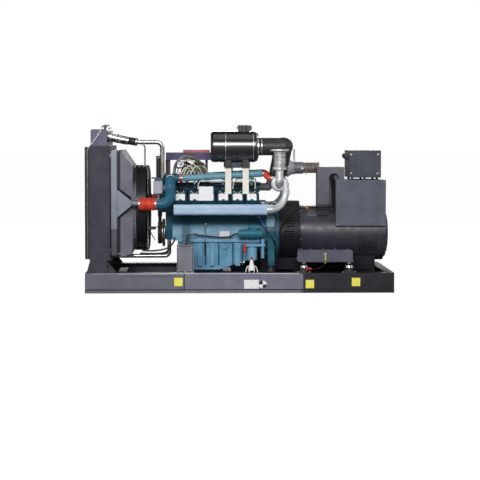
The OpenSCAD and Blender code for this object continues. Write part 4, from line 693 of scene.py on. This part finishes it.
def band(radius, width, thick=1.2):
    """A flat steel band about Z, with the worm screw's housing on one side."""
    ring = turned([(0, radius), (0, radius + thick), (width, radius + thick), (width, radius)],
                  48, closed=True)
    house = placed(plate(round_corners(width * 1.1, 16, 2), 8, 1),
                   [(radius + thick - 1, 0, width / 2)], (1, 0, 0))
    screw = placed(turned([(-11, 3), (-9, 5), (9, 5), (11, 3)], 10),
                   [(radius + thick + 5, 0, width / 2)], (0, 1, 0))
    return join(ring, house, screw)


hose_near = placed(ribbed(196, 62, 6, 8), [(-1073, -545, 933)], X)
hose_far = placed(ribbed(196, 62, 6, 8), [(-1073, 545, 933)], X)
mid_a, mid_b = np.array([252.0, -300, 1249]), np.array([339.7, -340, 1201])
mid = mid_b - mid_a
rear = carried(smooth_route([mid_a, mid_a + (10, 0, 0), mid_a + mid * (0.34, 0.2, 0.2),
                             mid_a + mid * (0.64, 0.8, 0.8), mid_b - (10, 0, 0), mid_b], 6), 30, 28)
front = placed(turned([(0, 46), (2, 48), (10, 48), (12, 46.5), (22, 46.5), (24, 48), (31, 48),
                       (33.5, 46)], 40), [(-639, -300, 1199)], X)
bank_hoses = both_sides(join(rear, front), FAR_BANK)
red = piece("red_hoses", join(hose_near, hose_far, bank_hoses), skinned["red"])
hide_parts("charge_hoses")

hose_bands = [placed(band(62.2, 13), [(x, y, 933)], X) for x in (-1068, -895) for y in (-545, 545)]
coupling_bands = [both_sides(placed(band(47.4, 8), [(x, -300, 1199)], X), FAR_BANK)
                  for x in (-637, -616)]
rear_bands = [both_sides(placed(band(30.6, 9), [(258, -300, 1249)], X), FAR_BANK)]
piece("hose_bands", join(*hose_bands, *coupling_bands, *rear_bands), metal["shaft"])

# %% [markdown]
# ## Bolts
# A machine like this is read by its bolts: rings of them round the flywheel
# housing, rows on the sump and the covers. One bolt head is modelled once, as a
# washer, six flats and a chamfer in twelve-sided rings, and then copied to all
# places by one array product.

# %% Bolt heads
def bolt(flats):
    """Bolt head about Z with that distance over its flats. The radius of the ring at
    angle a is flats / 2 / cos of the angle to the nearest flat's middle."""
    a = np.arange(12) * np.pi / 6
    hexagon = flats / 2 / np.where(np.arange(12) % 2 == 0, 1.0, math.cos(math.pi / 6))
    washer = np.full(12, flats * 0.66)
    stack = [(0.0, washer), (flats * 0.1, washer), (flats * 0.1, hexagon),
             (flats * 0.5, hexagon), (flats * 0.6, np.full(12, flats * 0.42))]
    rings = [np.column_stack([r * np.cos(a), r * np.sin(a), np.full(12, h)]) for h, r in stack]
    return skin(rings)


def circle_of(count, radius, x, z, start=0.0):
    """Places on a circle about the X axis, at height z."""
    a = np.radians(start + np.arange(count) * 360 / count)
    return np.column_stack([np.full(count, x), radius * np.cos(a), z + radius * np.sin(a)])


bolts = [
    placed(bolt(17), circle_of(20, 316, 391.6, CRANK, 9), (-1, 0, 0)),
    placed(bolt(17), circle_of(20, 316, 290.4, CRANK, 9), X),
    placed(bolt(17), circle_of(18, 316, 665.2, CRANK, 10), X),
    placed(bolt(15), circle_of(12, 250, 1606, CRANK, 15), (0.75, 0, 0)),
]
print("ring bolts", sum(len(b[1]) for b in bolts) // 50)


def row(start, stop, count):
    """Equally spaced places from start to stop."""
    return np.linspace(start, stop, count)


def bank(across, along, x):
    """Points of the near bank: across and along its bores, which lean by 45 degrees."""
    c = math.sqrt(0.5)
    x, across, along = np.broadcast_arrays(np.asarray(x, float), across, along)
    return np.column_stack([x, c * (across - along), CRANK + c * (across + along)])


BANK_UP = (0, -1, 1)
bores = -628 + 152.2 * np.arange(6)
cover_bolts = np.vstack([bank(58, 596.6, bores + dx) for dx in (-34, 34)]
                        + [bank(s, 518.6, bores + dx) for dx in (-56, 56) for s in (-80, 80)])
head_bolts = np.vstack([bank(-95.5, z, bores + dx) for dx in (-52, 52) for z in (408, 470)])
sump = np.vstack([row((-645, -217, z), (215, -217, z), 16) for z in (538, 506)])
sump_up = np.repeat([[0, 0, 1.0], [0, 0, -1.0]], 16, 0)
crank_side = row((-560, -229, 597), (150, -229, 597), 8)
engine_bolts = [
    both_sides(placed(bolt(13), cover_bolts, BANK_UP), FAR_BANK),
    both_sides(placed(bolt(14), head_bolts, (0, -1, -1)), FAR_BANK),
    both_sides(placed(bolt(13), sump, sump_up)),
    both_sides(placed(bolt(16), crank_side, (0, -1, -0.12))),
]
piece("engine_bolts", join(*engine_bolts), metal["zinc"])
piece("ring_bolts", join(*bolts[:2]), metal["shaft"])
piece("alternator_bolts", join(*bolts[2:]), metal["shaft"])

flange_places = circle_of(8, 83, 0, 0, 22.5)[:, [1, 2, 0]]
flange_ring = placed(bolt(15), flange_places + (424, -514, 1497.2), (0, 0, -1))
mid_flange = placed(bolt(13), circle_of(8, 69, 0, 0)[:, [1, 2, 0]] + (424, -514, 1323.2), (0, 0, 1))
piece("exhaust_bolts", both_sides(join(flange_ring, mid_flange), FAR_BANK),
      metal["shaft"])

# %% [markdown]
# ## Notched pads and covers
# Each rocker cover carries a white enamelled pad with a half-round notch for the
# lead that comes up between its screws. The pad is a plate cut to an outline:
# a rectangle with round corners, whose lower side dips round the notch.

# %% Pads on the rocker covers
def notched_outline(w, h, notch, r=16):
    """Rounded rectangle whose bottom side follows a half circle of the notch's radius."""
    corners = round_corners(w, h, r, 6)
    a = np.linspace(np.pi, 0, 13)
    dip = np.column_stack([notch * np.cos(a), notch * np.sin(a) - h / 2])
    return np.vstack([corners[:18], dip, corners[18:]])


cover_pad = plate(notched_outline(100, 96, 19), 2.2, 0.8)
pads = both_sides(placed(cover_pad, bank(-17, 592.2, bores), BANK_UP), FAR_BANK)
stiffener = placed(plate(round_corners(46, 9, 4), 3.0, 0.8), bank(46, 592.2, bores), BANK_UP)
piece("cover_pads", join(pads, both_sides(stiffener, FAR_BANK)), paint["white"])

cover_ribs = [placed(plate(round_corners(5, 118, 2), 5, 1), bank(-4, 590.5, bores + dx), BANK_UP)
              for dx in (-58, 58)]
piece("cover_ribs", both_sides(join(*cover_ribs), FAR_BANK), paint["cover"])

# %% [markdown]
# ## Ignition leads and harness
# A gas engine has spark plugs. A loom in a corrugated sleeve runs along each
# bank, tied to the charge pipe's posts, and a lead drops from it to a coil on
# every cover. The loom wavers a little between its ties, as a real one does.

# %% Harness, coils and leads
def wavering(x0, x1, y, z, sway, waves, count=60):
    """A route along X that sways by sines of two lengths in height and depth."""
    s = np.linspace(0, 1, count)
    return np.column_stack([x0 + (x1 - x0) * s,
                            y + 0.5 * sway * np.sin(2 * np.pi * waves * s + 0.7),
                            z + sway * np.sin(2 * np.pi * waves * s)])


loom_route = smooth_route(wavering(-660, 225, -326, 1122, 7, 5.4), 7)
corrugated = 9 + 1.2 * np.sin(np.linspace(0, 2 * np.pi * 110, len(loom_route)))
loom = carried(loom_route, corrugated, 10)
second = carried(wavering(-640, 180, -344, 1106, 9, 4.2), 5, 8)
piece("ignition_loom", both_sides(join(loom, second), FAR_BANK), skinned["sheath"])

coil = turned([(0, 15), (3, 16), (26, 16), (30, 12), (44, 10), (46, 7)], 16)
coils = placed(coil, bank(56, 588.4, bores), BANK_UP)
lead_parts = []
for x in bores:
    top = bank(56, 632, x)[0]
    lead_parts.append(carried(smooth_route([top, top + (4, -6, 14), (x + 16, -388, 1118),
                                            (x + 32, -352, 1128), (x + 44, -330, 1122)], 5), 4, 8))
piece("ignition_coils", both_sides(coils, FAR_BANK), skinned["nylon"])
piece("ignition_leads", both_sides(join(*lead_parts), FAR_BANK), skinned["black"])

vent_a = [(-440, 1085), (-438, 1130), (-420, 1166), (-390, 1172), (-280, 1172), (-160, 1172),
          (-138, 1160), (-134, 1085)]
vent_b = [(-64, 1085), (-62, 1140), (-46, 1170), (-10, 1176), (70, 1176), (150, 1176),
          (170, 1160), (174, 1085)]
vents = [carried(smooth_route([(x, -350, z) for x, z in line], 5), 6.5, 12)
         for line in (vent_a, vent_b)]
tees = placed(turned([(-12, 11), (-10, 13), (10, 13), (12, 11)], 16),
              [(-390, -350, 1172), (70, -350, 1176)], X)
piece("vent_lines", both_sides(join(*vents, tees), FAR_BANK), skinned["ivory"])

# %% [markdown]
# ## Between the banks
# The valley holds the gas mixer's plumbing: bent grey and cream tubes, an olive
# hose, and the lifting eye at the front. They cross one another at different
# heights, so each is a route of its own, and the eye is a plate with a hole.

# %% Valley pipes and lifting eye
valley = {
    "grey": [[(-700, -120, 1246), (-690, -150, 1330), (-640, -170, 1400), (-560, -150, 1430),
              (-470, -130, 1400), (-420, -120, 1300), (-418, -110, 1152)],
             [(-610, 70, 1246), (-600, 10, 1330), (-540, -60, 1400), (-450, -100, 1390),
              (-390, -120, 1300), (-384, -110, 1152)]],
    "ivory": [[(-660, -60, 1246), (-640, -120, 1320), (-590, -180, 1380), (-520, -190, 1390),
               (-450, -170, 1350), (-400, -150, 1280), (-350, -110, 1152)],
              [(-560, -90, 1152), (-540, -190, 1230), (-480, -215, 1300), (-410, -205, 1330),
               (-350, -190, 1290), (-320, -110, 1152)]],
    "olive": [[(-630, -90, 1246), (-600, -160, 1350), (-530, -200, 1420), (-450, -190, 1400),
               (-380, -160, 1330), (-346, -90, 1250), (-340, -80, 1152)]],
    "black": [[(-700, 40, 1246), (-680, -40, 1340), (-620, -110, 1370), (-520, -130, 1340),
               (-440, -150, 1260), (-430, -100, 1152)]],
}
thickness = {"grey": 13, "ivory": 9, "olive": 11, "black": 15}
for kind, routes in valley.items():
    r = thickness[kind]
    tubes = [carried(smooth_route(route, 7), r, 14) for route in routes]
    ends = np.array([route[i] for route in routes for i in (0, -1)], float)
    cuffs = placed(turned([(-2, r + 4), (8, r + 4), (10, r + 1)], 16), ends)
    piece("valley_tubes_" + kind, join(*tubes, cuffs), skinned[kind])

eye_ring = turned([(0, 17), (1, 15), (13, 15), (14, 17), (14, 37), (13, 38), (1, 38), (0, 37)],
                  36, closed=True)
eye = join(placed(eye_ring, [(-627, -168, 1342)], NEAR),
           placed(plate([(30, 0), (22, 62), (-22, 62), (-30, 0)], 14, 1), [(-627, -168, 1246)],
                  (0, -1, 0)),
           placed(plate(round_corners(90, 60, 8), 10, 1), [(-627, -160, 1244)]))
piece("lifting_eye", eye, metal["cast"])

trough_lid = placed(plate(round_corners(294, 62, 3), 31, 1), [(-456, 70, 1471)])
piece("trough_lid", trough_lid, paint["red"])
brown = carried([(-782, 60, 1244), (-782, 60, 1320), (-782, 60, 1392)], 14, 16)
collar = placed(turned([(0, 20), (8, 20), (10, 15)], 20), [(-782, 60, 1244)])
piece("brown_standpipe", join(brown, collar), paint["brown"])

# %% [markdown]
# ## Small shapes used many times
# A pad is a plate with round corners, which serves for plates, brackets and
# lugs. A rod between two points serves for stays, legs and screws. Both only
# name a call of the functions above, so that the tables below stay short.

# %% Pads, rods and tubes
def pad(width, height, depth, radius=4.0, bevel=0.5):
    """A plate of that size with round corners, drawn out along its normal."""
    return plate(round_corners(width, height, min(radius, width / 2.2, height / 2.2), 4),
                 depth, bevel)


def rod(start, stop, radius, sides=12):
    """A straight round rod between two points."""
    start, stop = np.array(start, float), np.array(stop, float)
    return carried(start + (stop - start) * np.linspace(0, 1, 3)[:, None], radius, sides)


def tube(points, radius, sides=12, steps=6):
    """A bent tube through the points."""
    return carried(smooth_route(points, steps), radius, sides)


def screws(flats, places, normal=NEAR):
    """Hexagon screws at the places, all facing one way."""
    return placed(bolt(flats), np.asarray(places, float), normal)

# %% [markdown]
# ## Radiator and its pipes
# The top hose sleeve, the vent tube and the clamps sit between the tank and the
# engine. The guard round the fan is a perforated band with a finer wire mesh on
# its end. A wire mesh is modelled as rods here, because a see-through texture
# would show no wire from the side.

# %% Hoses and clamps at the radiator
sleeve = tube([(-1204, -300, 1605), (-1180, -300, 1602), (-1110, -300, 1591), (-1088, -300, 1588)],
              41, 32)
riser = tube([(-868, -300, z) for z in (1168, 1180, 1400, 1440)], 21, 20)
piece("rubber_sleeves", join(sleeve, riser), skinned["black"])
slope = (0.985, 0, -0.17)
clamps = [placed(band(42, 10), [(-1196, -300, 1604)], slope),
          placed(band(42, 10), [(-1106, -300, 1590)], slope),
          placed(band(22, 8), [(-868, -300, 1186), (-868, -300, 1416)], UP)]
piece("sleeve_bands", join(*clamps), metal["zinc"])
neck = [placed(turned([(0, 58), (0, 66), (9, 66), (9, 58)], 40, closed=True),
               [(-1398, -300, 1648)], slope),
        placed(turned([(0, 48), (0, 53), (8, 53), (8, 48)], 36, closed=True),
               [(-1300, -300, 1628)], slope)]
piece("neck_rings", join(*neck), skinned["filter"])
vent = tube([(-1008, -300, 1322), (-1008, -300, 1345), (-1008, -300, 1480), (-1008, -302, 1530),
             (-1024, -304, 1560), (-1060, -304, 1572)], 8, 12)
tap = join(rod((-1387, -350, 1718), (-1387, -350, 1740), 7),
           rod((-1402, -350, 1738), (-1366, -350, 1738), 5),
           rod((-1366, -350, 1726), (-1366, -350, 1746), 4))
piece("vent_tube", join(vent, tap), metal["chrome"])
wings = join(placed(pad(64, 10, 16, 4), [(-1418, -312, 1758)], UP),
             placed(pad(10, 44, 16, 4), [(-1418, -312, 1757)], UP))
piece("cap_wings", wings, metal["brass"])

# %% Guard mesh, and dark liners of painted shade
def mesh_rod(turn):
    """One wire of the guard: along the band, round its corner and in to the hub ring,
    at that angle about the shaft."""
    x = np.array([-1112.0, -992, -975, -969.5, -969.5, -969.5])
    r = np.array([463.5, 463.5, 458, 438, 300, 96])
    return carried(np.column_stack([x, r * math.cos(turn), FAN_AXIS + r * math.sin(turn)]), 1.7, 5)


wires = [mesh_rod(a) for a in np.arange(144) * math.pi / 72]
loops = [placed(turned([(-1.6, r - 1.6), (-1.6, r + 1.6), (1.6, r + 1.6), (1.6, r - 1.6)], 96,
                       closed=True), [(-966.5, 0, FAN_AXIS)], X) for r in np.arange(110, 452, 19)]
piece("guard_wires", join(*wires, *loops), skinned["wire"])
drum = placed(turned([(0, 457.4), (0, 460.4), (94, 460.4), (94, 457.4)], 96, closed=True),
              [(-1098, 0, FAN_AXIS)], X)


def gap_shade_lining(side):
    """Dark plate of painted shade behind the notch of the shroud: its y follows the slanted wall,
    14 mm inside.
    """
    x, z = np.array([-1286.0, -1142, -1142, -1286]), np.array([780.0, 885, 981, 1105])
    y = 576 - np.clip((x + 1256) / 116, 0, 1) * 120
    return skin([np.column_stack([x, side * (y - t), z]) for t in (0, 3)])


# Dark liners in the gaps of the shroud and the notch: painted shade.
gap_shade_liners = [placed(pad(w, 1070, 3, 1), [(x, y, 950)], NEAR) for y in (-562, 565)
          for x, w in ((-1361.5, 7), (-1272, 28))] + [gap_shade_lining(-1), gap_shade_lining(1)]
piece("guard_drum_and_gap_shade", join(drum, *gap_shade_liners), skinned["wire"])

# %% Radiator screws, brackets and actuator
side_screws = [(x, -635, z) for x in (-1562, -1384) for z in np.linspace(300, 1500, 7)]
piece("radiator_screws", screws(13, side_screws), skinned["mount"])
actuator = join(placed(pad(100, 135, 44, 8, 3), [(-869, -300, 1108)], NEAR),
                placed(pad(78, 24, 30, 4), [(-869, -302, 1188)], NEAR))
piece("actuator", actuator, paint["pale"])
bracket = join(placed(pad(112, 16, 30, 3), [(-880, -380, 1206)], NEAR),
               placed(pad(96, 14, 26, 3), [(-868, -380, 1034)], NEAR),
               rod((-830, -350, 1190), (-760, -300, 1170), 9),
               rod((-822, -350, 1040), (-760, -300, 1020), 9))
piece("actuator_bracket", bracket, paint["teal"])
low_bracket = join(placed(pad(78, 34, 6, 3), [(-928, -396, 672)], NEAR),
                   rod((-964, -392, 660), (-900, -380, 540), 5),
                   rod((-892, -392, 676), (-842, -360, 700), 5))
piece("low_bracket", low_bracket, skinned["filter"])
lower = [tube([(-1040, -330, 430), (-1020, -330, 424), (-960, -330, 422), (-900, -330, 424),
               (-800, -330, 440), (-740, -326, 470), (-700, -320, 520), (-690, -310, 570)], 9, 10),
         tube([(-1060, -344, 396), (-980, -344, 392), (-880, -344, 392), (-800, -344, 400),
               (-760, -340, 430), (-742, -330, 480)], 11, 10)]
piece("drain_hoses", join(*lower), skinned["black"])
print("radiator side done")

# %% [markdown]
# ## Crank end
# The torsional damper and the fan pulley turn with the crankshaft, so their
# bright rims ride on that body.

# %% Bright rims on the crank pulleys
rims = [placed(turned([(0, 150.6), (0, 153.2), (5, 153.2), (5, 150.6)], 64, closed=True),
               [(x, 0, CRANK)], X) for x in (-829, -806)]
piece("pulley_rims", join(*rims), metal["shaft"], body="crankshaft")

# %% [markdown]
# ## Engine details
# The near bank carries a blank rating plate on two legs, a dipstick and its
# tube, a white data plate on the crankcase and a flat lug plate on the flywheel
# housing. All plates are left blank.

# %% Plates, dipstick and boss
white_parts = [placed(pad(152, 150, 2.5, 3), [(-355, -474, 1042)], NEAR),
               placed(pad(108, 82, 2.0, 3), [(-155, -241, 585)], (0, -0.977, -0.212)),
               placed(pad(157, 94, 1.6, 2), [(121, RAIL - 3, 94)], NEAR)]
piece("blank_plates", join(*white_parts), paint["white"])
legs = [rod((x, -470, 975), (x, -452, 940), 5) for x in (-400, -310)]
legs += [rod((x, -473, 1108), (x, -430, 1120), 4) for x in (-400, -310)]
piece("plate_legs", join(*legs), metal["zinc"])
stick = tube([(-362, -262, 712), (-362, -262, 690), (-362, -246, 620), (-362, -240, 560),
              (-362, -238, 520), (-362, -236, 505)], 7, 12)
handle = tube([(-362, -236, 502), (-362, -236, 470), (-364, -232, 420), (-362, -230, 362)], 9, 12)
u_boss = [tube([(-188, -208, 506), (-188, -208, 500), (-186, -210, 462), (-153, -212, 432),
                (-120, -210, 462), (-118, -208, 500), (-118, -208, 506)], 8, 12)]
u_boss += [rod((x, -206, 356), (x, -206, 430), 8) for x in (-178, -128)]
u_boss += [placed(pad(54, 250, 10, 6, 3), [(x, -217, 372)], NEAR) for x in (-420, -286, -10)]
# Dark teal strips stand for the shade in the sump's grooves: painted shade.
groove_shade_strips = [placed(pad(13, 236, 3, 5, 1), [(x, -217, 376)], NEAR) for x in (-357, -217, -62, 40)]
piece("pan_boss", join(*u_boss), paint["pan"])
piece("pan_groove_shade", join(*groove_shade_strips), paint["teal"])
piece("dipstick", join(stick, placed(band(8, 10), [(-362, -262, 700)], UP)),
      metal["zinc"])
piece("dipstick_grip", handle, skinned["filter"])
lug_plate = placed(pad(88, 116, 8, 16, 2), [(340, -304, 730)], NEAR)
piece("lug_plate", lug_plate, paint["pale_teal"])
piece("lug_bolts", screws(14, [(318, -312, 766), (362, -312, 766)]),
      skinned["filter"])

# %% [markdown]
# ## Loose things and marks on the skid
# A red boot hangs by the starter, and a white cone with a red cap and wire legs
# stands on the rail. Yellow squares mark three places of the skid. A black and
# white disc beside the white plate is made of quarters, so that no two colours
# share a face and no image is needed.

# %% Boot, stand cone and markers
boot = turned([(0, 8), (2, 17), (20, 19), (50, 15), (54, 18), (60, 18), (64, 14), (96, 12),
               (106, 7), (108, 3)], 20)
piece("starter_boot", placed(boot, [(58, -404, 404)], (0.06, 0, 1)),
      skinned["boot"])
cone = turned([(0, 34), (3, 37), (30, 33), (80, 20), (118, 11), (124, 6)], 24)
tip = turned([(0, 10), (3, 13), (22, 12), (36, 9), (38, 4)], 20)
piece("level_cone", placed(cone, [(124, -604, 236)], UP), paint["white"])
piece("level_cap", placed(tip, [(124, -604, 345)], UP), skinned["boot"])
feet = [tube([(124 + 30 * s, -606, 282), (124 + 48 * s, -610, 270), (124 + 58 * s, -612, 244),
              (124 + 64 * s, -612, 214)], 5, 10) for s in (-1, 1)]
feet += [tube([(124 + 20 * s, -622, 262), (124 + 26 * s, -630, 240),
               (124 + 24 * s, -630, 214)], 4, 10) for s in (-1, 1)]
piece("level_legs", join(*feet), paint["cream"])
square_places = [(x, RAIL - 1, z) for x, z in ((-648, 120), (737, 94), (1224, 115))]
piece("lifting_squares", placed(pad(89, 89, 1.4, 2), square_places, NEAR),
      paint["yellow"])


def quarter(start):
    """A quarter of a disc: the middle point and nine points on the rim."""
    a = np.radians(start + np.linspace(0, 90, 9))
    return np.vstack([[0, 0], np.column_stack([42 * np.cos(a), 42 * np.sin(a)])])


for name, starts, slot, finish in (("balance_white", (0, 180), "white_plate", paint["white"]),
                                   ("balance_black", (90, 270), "mount_rubber", skinned["belt"])):
    quarters = [placed(plate(quarter(a), 1.4, 0.3), [(239, RAIL - 3, 92)], NEAR) for a in starts]
    piece(name, join(*quarters), finish)
plate_screws = screws(7, [(121 + dx, RAIL - 4.4, 94 + dz)
                          for dx in (-68, 0, 68) for dz in (-32, 32)])
piece("plate_screws", plate_screws, metal["zinc"])

# %% [markdown]
# ## Skid
# The middle of the rail carries a web plate with a rounded end. A folded seam
# runs along the foot, and a pale strip along the top edge is a painted highlight.

# %% Web plate, seam and lip
web = placed(pad(1246, 168, 3, 14, 1), [(42, RAIL, 118)], NEAR)
piece("web_plate", web, paint["web"])
# A pale strip painted as the highlight of the rail's lit top edge.
lip = join(placed(pad(1900, 7, 1.6, 0.8), [(-330, RAIL, 206)], NEAR),
           placed(pad(280, 4, 1.6, 0.8), [(-1420, RAIL, 206)], NEAR))
piece("rail_lip", lip, paint["lip"])
seam = join(placed(pad(3250, 9, 2.5, 1), [(0, RAIL - 0.5, 37)], NEAR),
            placed(pad(5, 168, 2.5, 1), [(988, RAIL, 118)], NEAR),
            placed(pad(8, 176, 4.5, 1), [(-586, RAIL, 118)], NEAR))
piece("rail_seam", seam, skinned["belt"])

# %% [markdown]
# ## Air filter, gas train and exhaust
# The filter sits in two black cradles over a grey box, and a bright ring clamps
# its cap. The gas valve has an upright handle.

# %% Filter cradle and clamps
cradle = [both_sides(placed(pad(64, 104, 164, 8, 2), [(x, -332, 1358)], (0, 1, 0)))
          for x in (-118, 69)]
hangers = [both_sides(placed(pad(150, 22, 170, 6, 2), [(-30, -340, 1404)], (0, 1, 0)))]
piece("filter_cradles", join(*cradle, *hangers), skinned["filter"])
grey_box = both_sides(placed(pad(112, 58, 120, 6, 2), [(-26, -320, 1340)], (0, 1, 0)))
piece("filter_box", grey_box, paint["box"])
filter_bands = [both_sides(placed(band(169, 7), [(x, -250, 1539)], X)) for x in (-148, 149)]
filter_bands += [both_sides(placed(band(101, 14, 2.5), [(200, -250, 1539)], X)),
                 both_sides(placed(band(96, 12, 2), [(238, -250, 1539)], X))]
piece("filter_bands", join(*filter_bands), metal["zinc"])
stub_band = both_sides(placed(band(69, 10, 2), [(54, -250, 1738)], UP))
piece("stub_bands", stub_band, skinned["filter"])
valve = join(rod((617, 0, 1362), (617, 0, 1509), 10),
             placed(pad(26, 40, 12, 5, 2), [(617, -6, 1380)], NEAR),
             rod((560, -4, 1345), (560, -4, 1412), 14), rod((700, -70, 1300), (700, -96, 1300), 12))
piece("valve_handle", valve, metal["cast"])
gas_screws = [placed(bolt(13), circle_of(8, 56, x, 1285, 20), X) for x in (612, 742)]
piece("gas_bolts", join(*gas_screws), metal["zinc"])

# %% [markdown]
# ## Alternator details
# The blank rating plate follows the curve of the frame. The dome on each rubber
# mount is pressed steel, held by one nut.

# %% Curved plates on the frame
def curved_pad(x0, x1, low, high, radius, thick):
    """A patch of a tube about the shaft, between two angles measured down from the top
    on the near side: point = radius · (-sin a, cos a)."""
    a = np.radians(np.linspace(low, high, 12))
    rim = [np.column_stack([-r * np.sin(a), CRANK + r * np.cos(a)])
           for r in (radius, radius + thick)]
    loop = np.vstack([rim[0], rim[1][::-1]])
    rings = [np.column_stack([np.full(len(loop), x), loop]) for x in (x0, x1)]
    return skin(rings)


frame_seams = join(curved_pad(973, 991, 33, 66, 302.2, 2.4),
                   curved_pad(664, 672, 8, 120, 302.4, 3))
piece("frame_plate", curved_pad(745, 875, 27.5, 50.5, 302.2, 1.6), metal["plate"])
piece("frame_seam", frame_seams, paint["generator"])
dome = turned([(0, 52), (3, 54), (8, 46), (30, 40), (46, 22), (48, 16), (52, 16)], 28)
nut = placed(bolt(26), [(0, 0, 50)], UP)
stud = placed(turned([(0, 8), (18, 8), (20, 6)], 12), [(0, 0, 60)], UP)
dome_places = [(x, y, 258) for x in (678, 1154) for y in (-604, 604)]
piece("mount_domes", placed(dome, dome_places), metal["shaft"])
piece("mount_nuts", join(placed(nut, dome_places), placed(stud, dome_places)),
      metal["zinc"])
foot_screws = [(x + dx, y, 214) for x in (678, 1154) for dx in (-62, 62) for y in (-612, 612)]
piece("mount_screws", placed(bolt(20), foot_screws), metal["zinc"])

# %% [markdown]
# ## Boxes
# The lids are held by a screw in each corner. The junction box also has a rubber
# gasket, which shows as a thin dark line round the lid. The cables behind the
# cabinet's arch are three tubes side by side.

# %% Screws and gland of the boxes
corner = [(x, -258, z) for x in (1214, 1502) for z in (1250, 1452)]
t_corner = [(x, -332, z) for x in (1062, 1562) for z in (703, 1162)]
j_corner = [(x, -648.5, z) for x in (-646, -506) for z in (236, 482)]
lid_screws = join(screws(15, corner), screws(7, t_corner), screws(9, j_corner))
piece("box_screws", lid_screws, metal["zinc"])
lid = placed(pad(150, 258, 3, 6, 1), [(-576, -646, 360)], NEAR)
gasket = placed(pad(160, 268, 1.5, 6, 0.4), [(-576, -646, 360)], NEAR)
piece("junction_lid", lid, paint["junction"])
piece("junction_gasket", gasket, skinned["mount"])
strip = join(placed(pad(172, 9, 6, 2), [(-576, -646, 216)], NEAR), screws(12, [(-576, -650, 224)]))
piece("junction_strip", strip, metal["zinc"])
gland = placed(turned([(0, 24), (3, 26), (11, 26), (13, 20), (20, 18), (22, 15)], 20),
               [(1144, -190, 1440)], (-1, 0, 0))
arch = [tube([(1030 + 10 * i, -216 - 6 * i, 880), (1030 + 10 * i, -216 - 6 * i, 920),
              (1026 + 12 * i, -220, 1100), (1012 + 14 * i, -222, 1200),
              (1004 + 14 * i, -214, 1244)], 9, 10) for i in (-1, 0, 1)]
piece("box_gland", gland, skinned["nylon"])
piece("arch_cables", join(*arch), skinned["sheath"])

# %% [markdown]
# ## Sensor lead, earth strap and tags
# Both are loose cables with their own length. The sensor lead leaves the
# flywheel housing in a blue sleeve and hangs in a wide arc to the sump. The
# strap bonds the alternator's foot to the skid.

# %% Loose leads
sensor_route = [(234, -326, 752), (243, -336, 732), (262, -352, 700), (290, -374, 645),
                (330, -376, 592), (366, -378, 540), (377, -380, 480), (366, -382, 425),
                (340, -380, 378), (300, -376, 330), (255, -372, 318), (222, -366, 318)]
cable("sensor_lead", sensor_route, 5, material="sheath")
strap_route = [(905, -594, 396), (905, -606, 378), (904, -620, 340), (892, -630, 300),
               (852, -634, 268), (806, -632, 250), (764, -626, 246), (728, -620, 250)]
cable("earth_strap", strap_route, 6, material="sheath")
strap_sleeve = tube([*strap_route[:3], (898, -627, 312)], 10, 12)
lug_red = placed(pad(70, 22, 12, 8, 3), [(722, -632, 254)], NEAR)
piece("strap_sleeve", strap_sleeve, skinned["green"])
strap_lug = placed(pad(26, 40, 8, 8, 2), [(905, -590, 398)], NEAR)
piece("strap_lug", strap_lug, metal["zinc"])
piece("red_lug", lug_red, skinned["boot"])
blue_sleeve = tube([(224, -322, 772), (234, -326, 752), (243, -336, 732), (262, -352, 700),
                    (276, -364, 672)], 9, 12)
piece("sensor_sleeve", blue_sleeve, skinned["blue"])
tip_white = tube([(208, -312, 798), (216, -316, 786), (224, -322, 772)], 8, 12)
piece("sensor_tip", tip_white, paint["white"])
tags = [placed(band(9, 16, 3), [(727, -328, 880)], X),
        placed(pad(36, 14, 4, 5, 1), [(728, -338, 884)], NEAR)]
piece("cable_tags", join(*tags), paint["orange"])

# %% [markdown]
# ## Small hoses in the valley
# The front of the valley is a tangle of thin hoses. Each is an arc between two of
# eight ports, and the ports are taken in turn, two or three apart, so that the
# arcs cross as real ones do without a route being drawn for each.

# %% Small hoses and the mixer
def arc_hose(a, b, lift, radius, side):
    """A small hose from a to b that rises between them by lift and bows to one side."""
    a, b = np.array(a, float), np.array(b, float)
    t = np.linspace(0, 1, 7)[:, None]
    hump = np.sin(np.pi * t)
    return tube(a + (b - a) * t + hump * np.array([0, side, lift]), radius, 9, 4)


ends = np.array([(-640, -250, 1200), (-600, -262, 1225), (-560, -240, 1232),
                 (-520, -256, 1240), (-480, -262, 1228), (-440, -246, 1236),
                 (-400, -258, 1226), (-360, -250, 1232)], float)
pale = [arc_hose(ends[i], ends[(i + 3) % 8] + (14, 20, 0), 92 + 12 * (i % 3), 6.5, 14 * (-1) ** i)
        for i in range(8)]
dark = [arc_hose(ends[i] + (10, 36, -10), ends[(i + 2) % 8] + (8, 50, 0),
                 120 + 10 * (i % 2), 11, 10) for i in range(8)]
piece("valley_leads", join(*pale[:4]), skinned["ivory"])
piece("valley_leads_green", join(*pale[4:]), skinned["olive"])
piece("valley_hoses", join(*dark), skinned["black"])
bowl = turned([(0, 74), (6, 80), (60, 80), (64, 66), (104, 66), (108, 84), (122, 84),
               (126, 74)], 36)
mixer = [placed(bowl, [(x, -120, 1196)], UP) for x in (-596, -430)]
mixer.append(placed(pad(300, 64, 90, 10, 4), [(-514, -70, 1260)], (0, 1, 0)))
piece("mixer_body", join(*mixer), skinned["grey"])
print("engine and alternator details done")

# %% [markdown]
# ## Shade inside the skid
# Under the adaptor and the alternator stand black plates of painted shade. They
# close the view through the skid, which is dark there on the real set.

# %% Dark plates of painted shade inside the skid
painted_shade_plates = [placed(pad(1040, 128, 6, 4), [(930, y, 268)], NEAR) for y in (-196, 202)]
painted_shade_plates += [placed(pad(190, 150, 6, 4), [(340, y, 250)], NEAR) for y in (-120, 126)]
painted_shade_plates += [placed(pad(170, 300, 6, 4), [(160, 66, 366)], NEAR)]
piece("painted_shade_plates", join(*painted_shade_plates), paint["cross"])
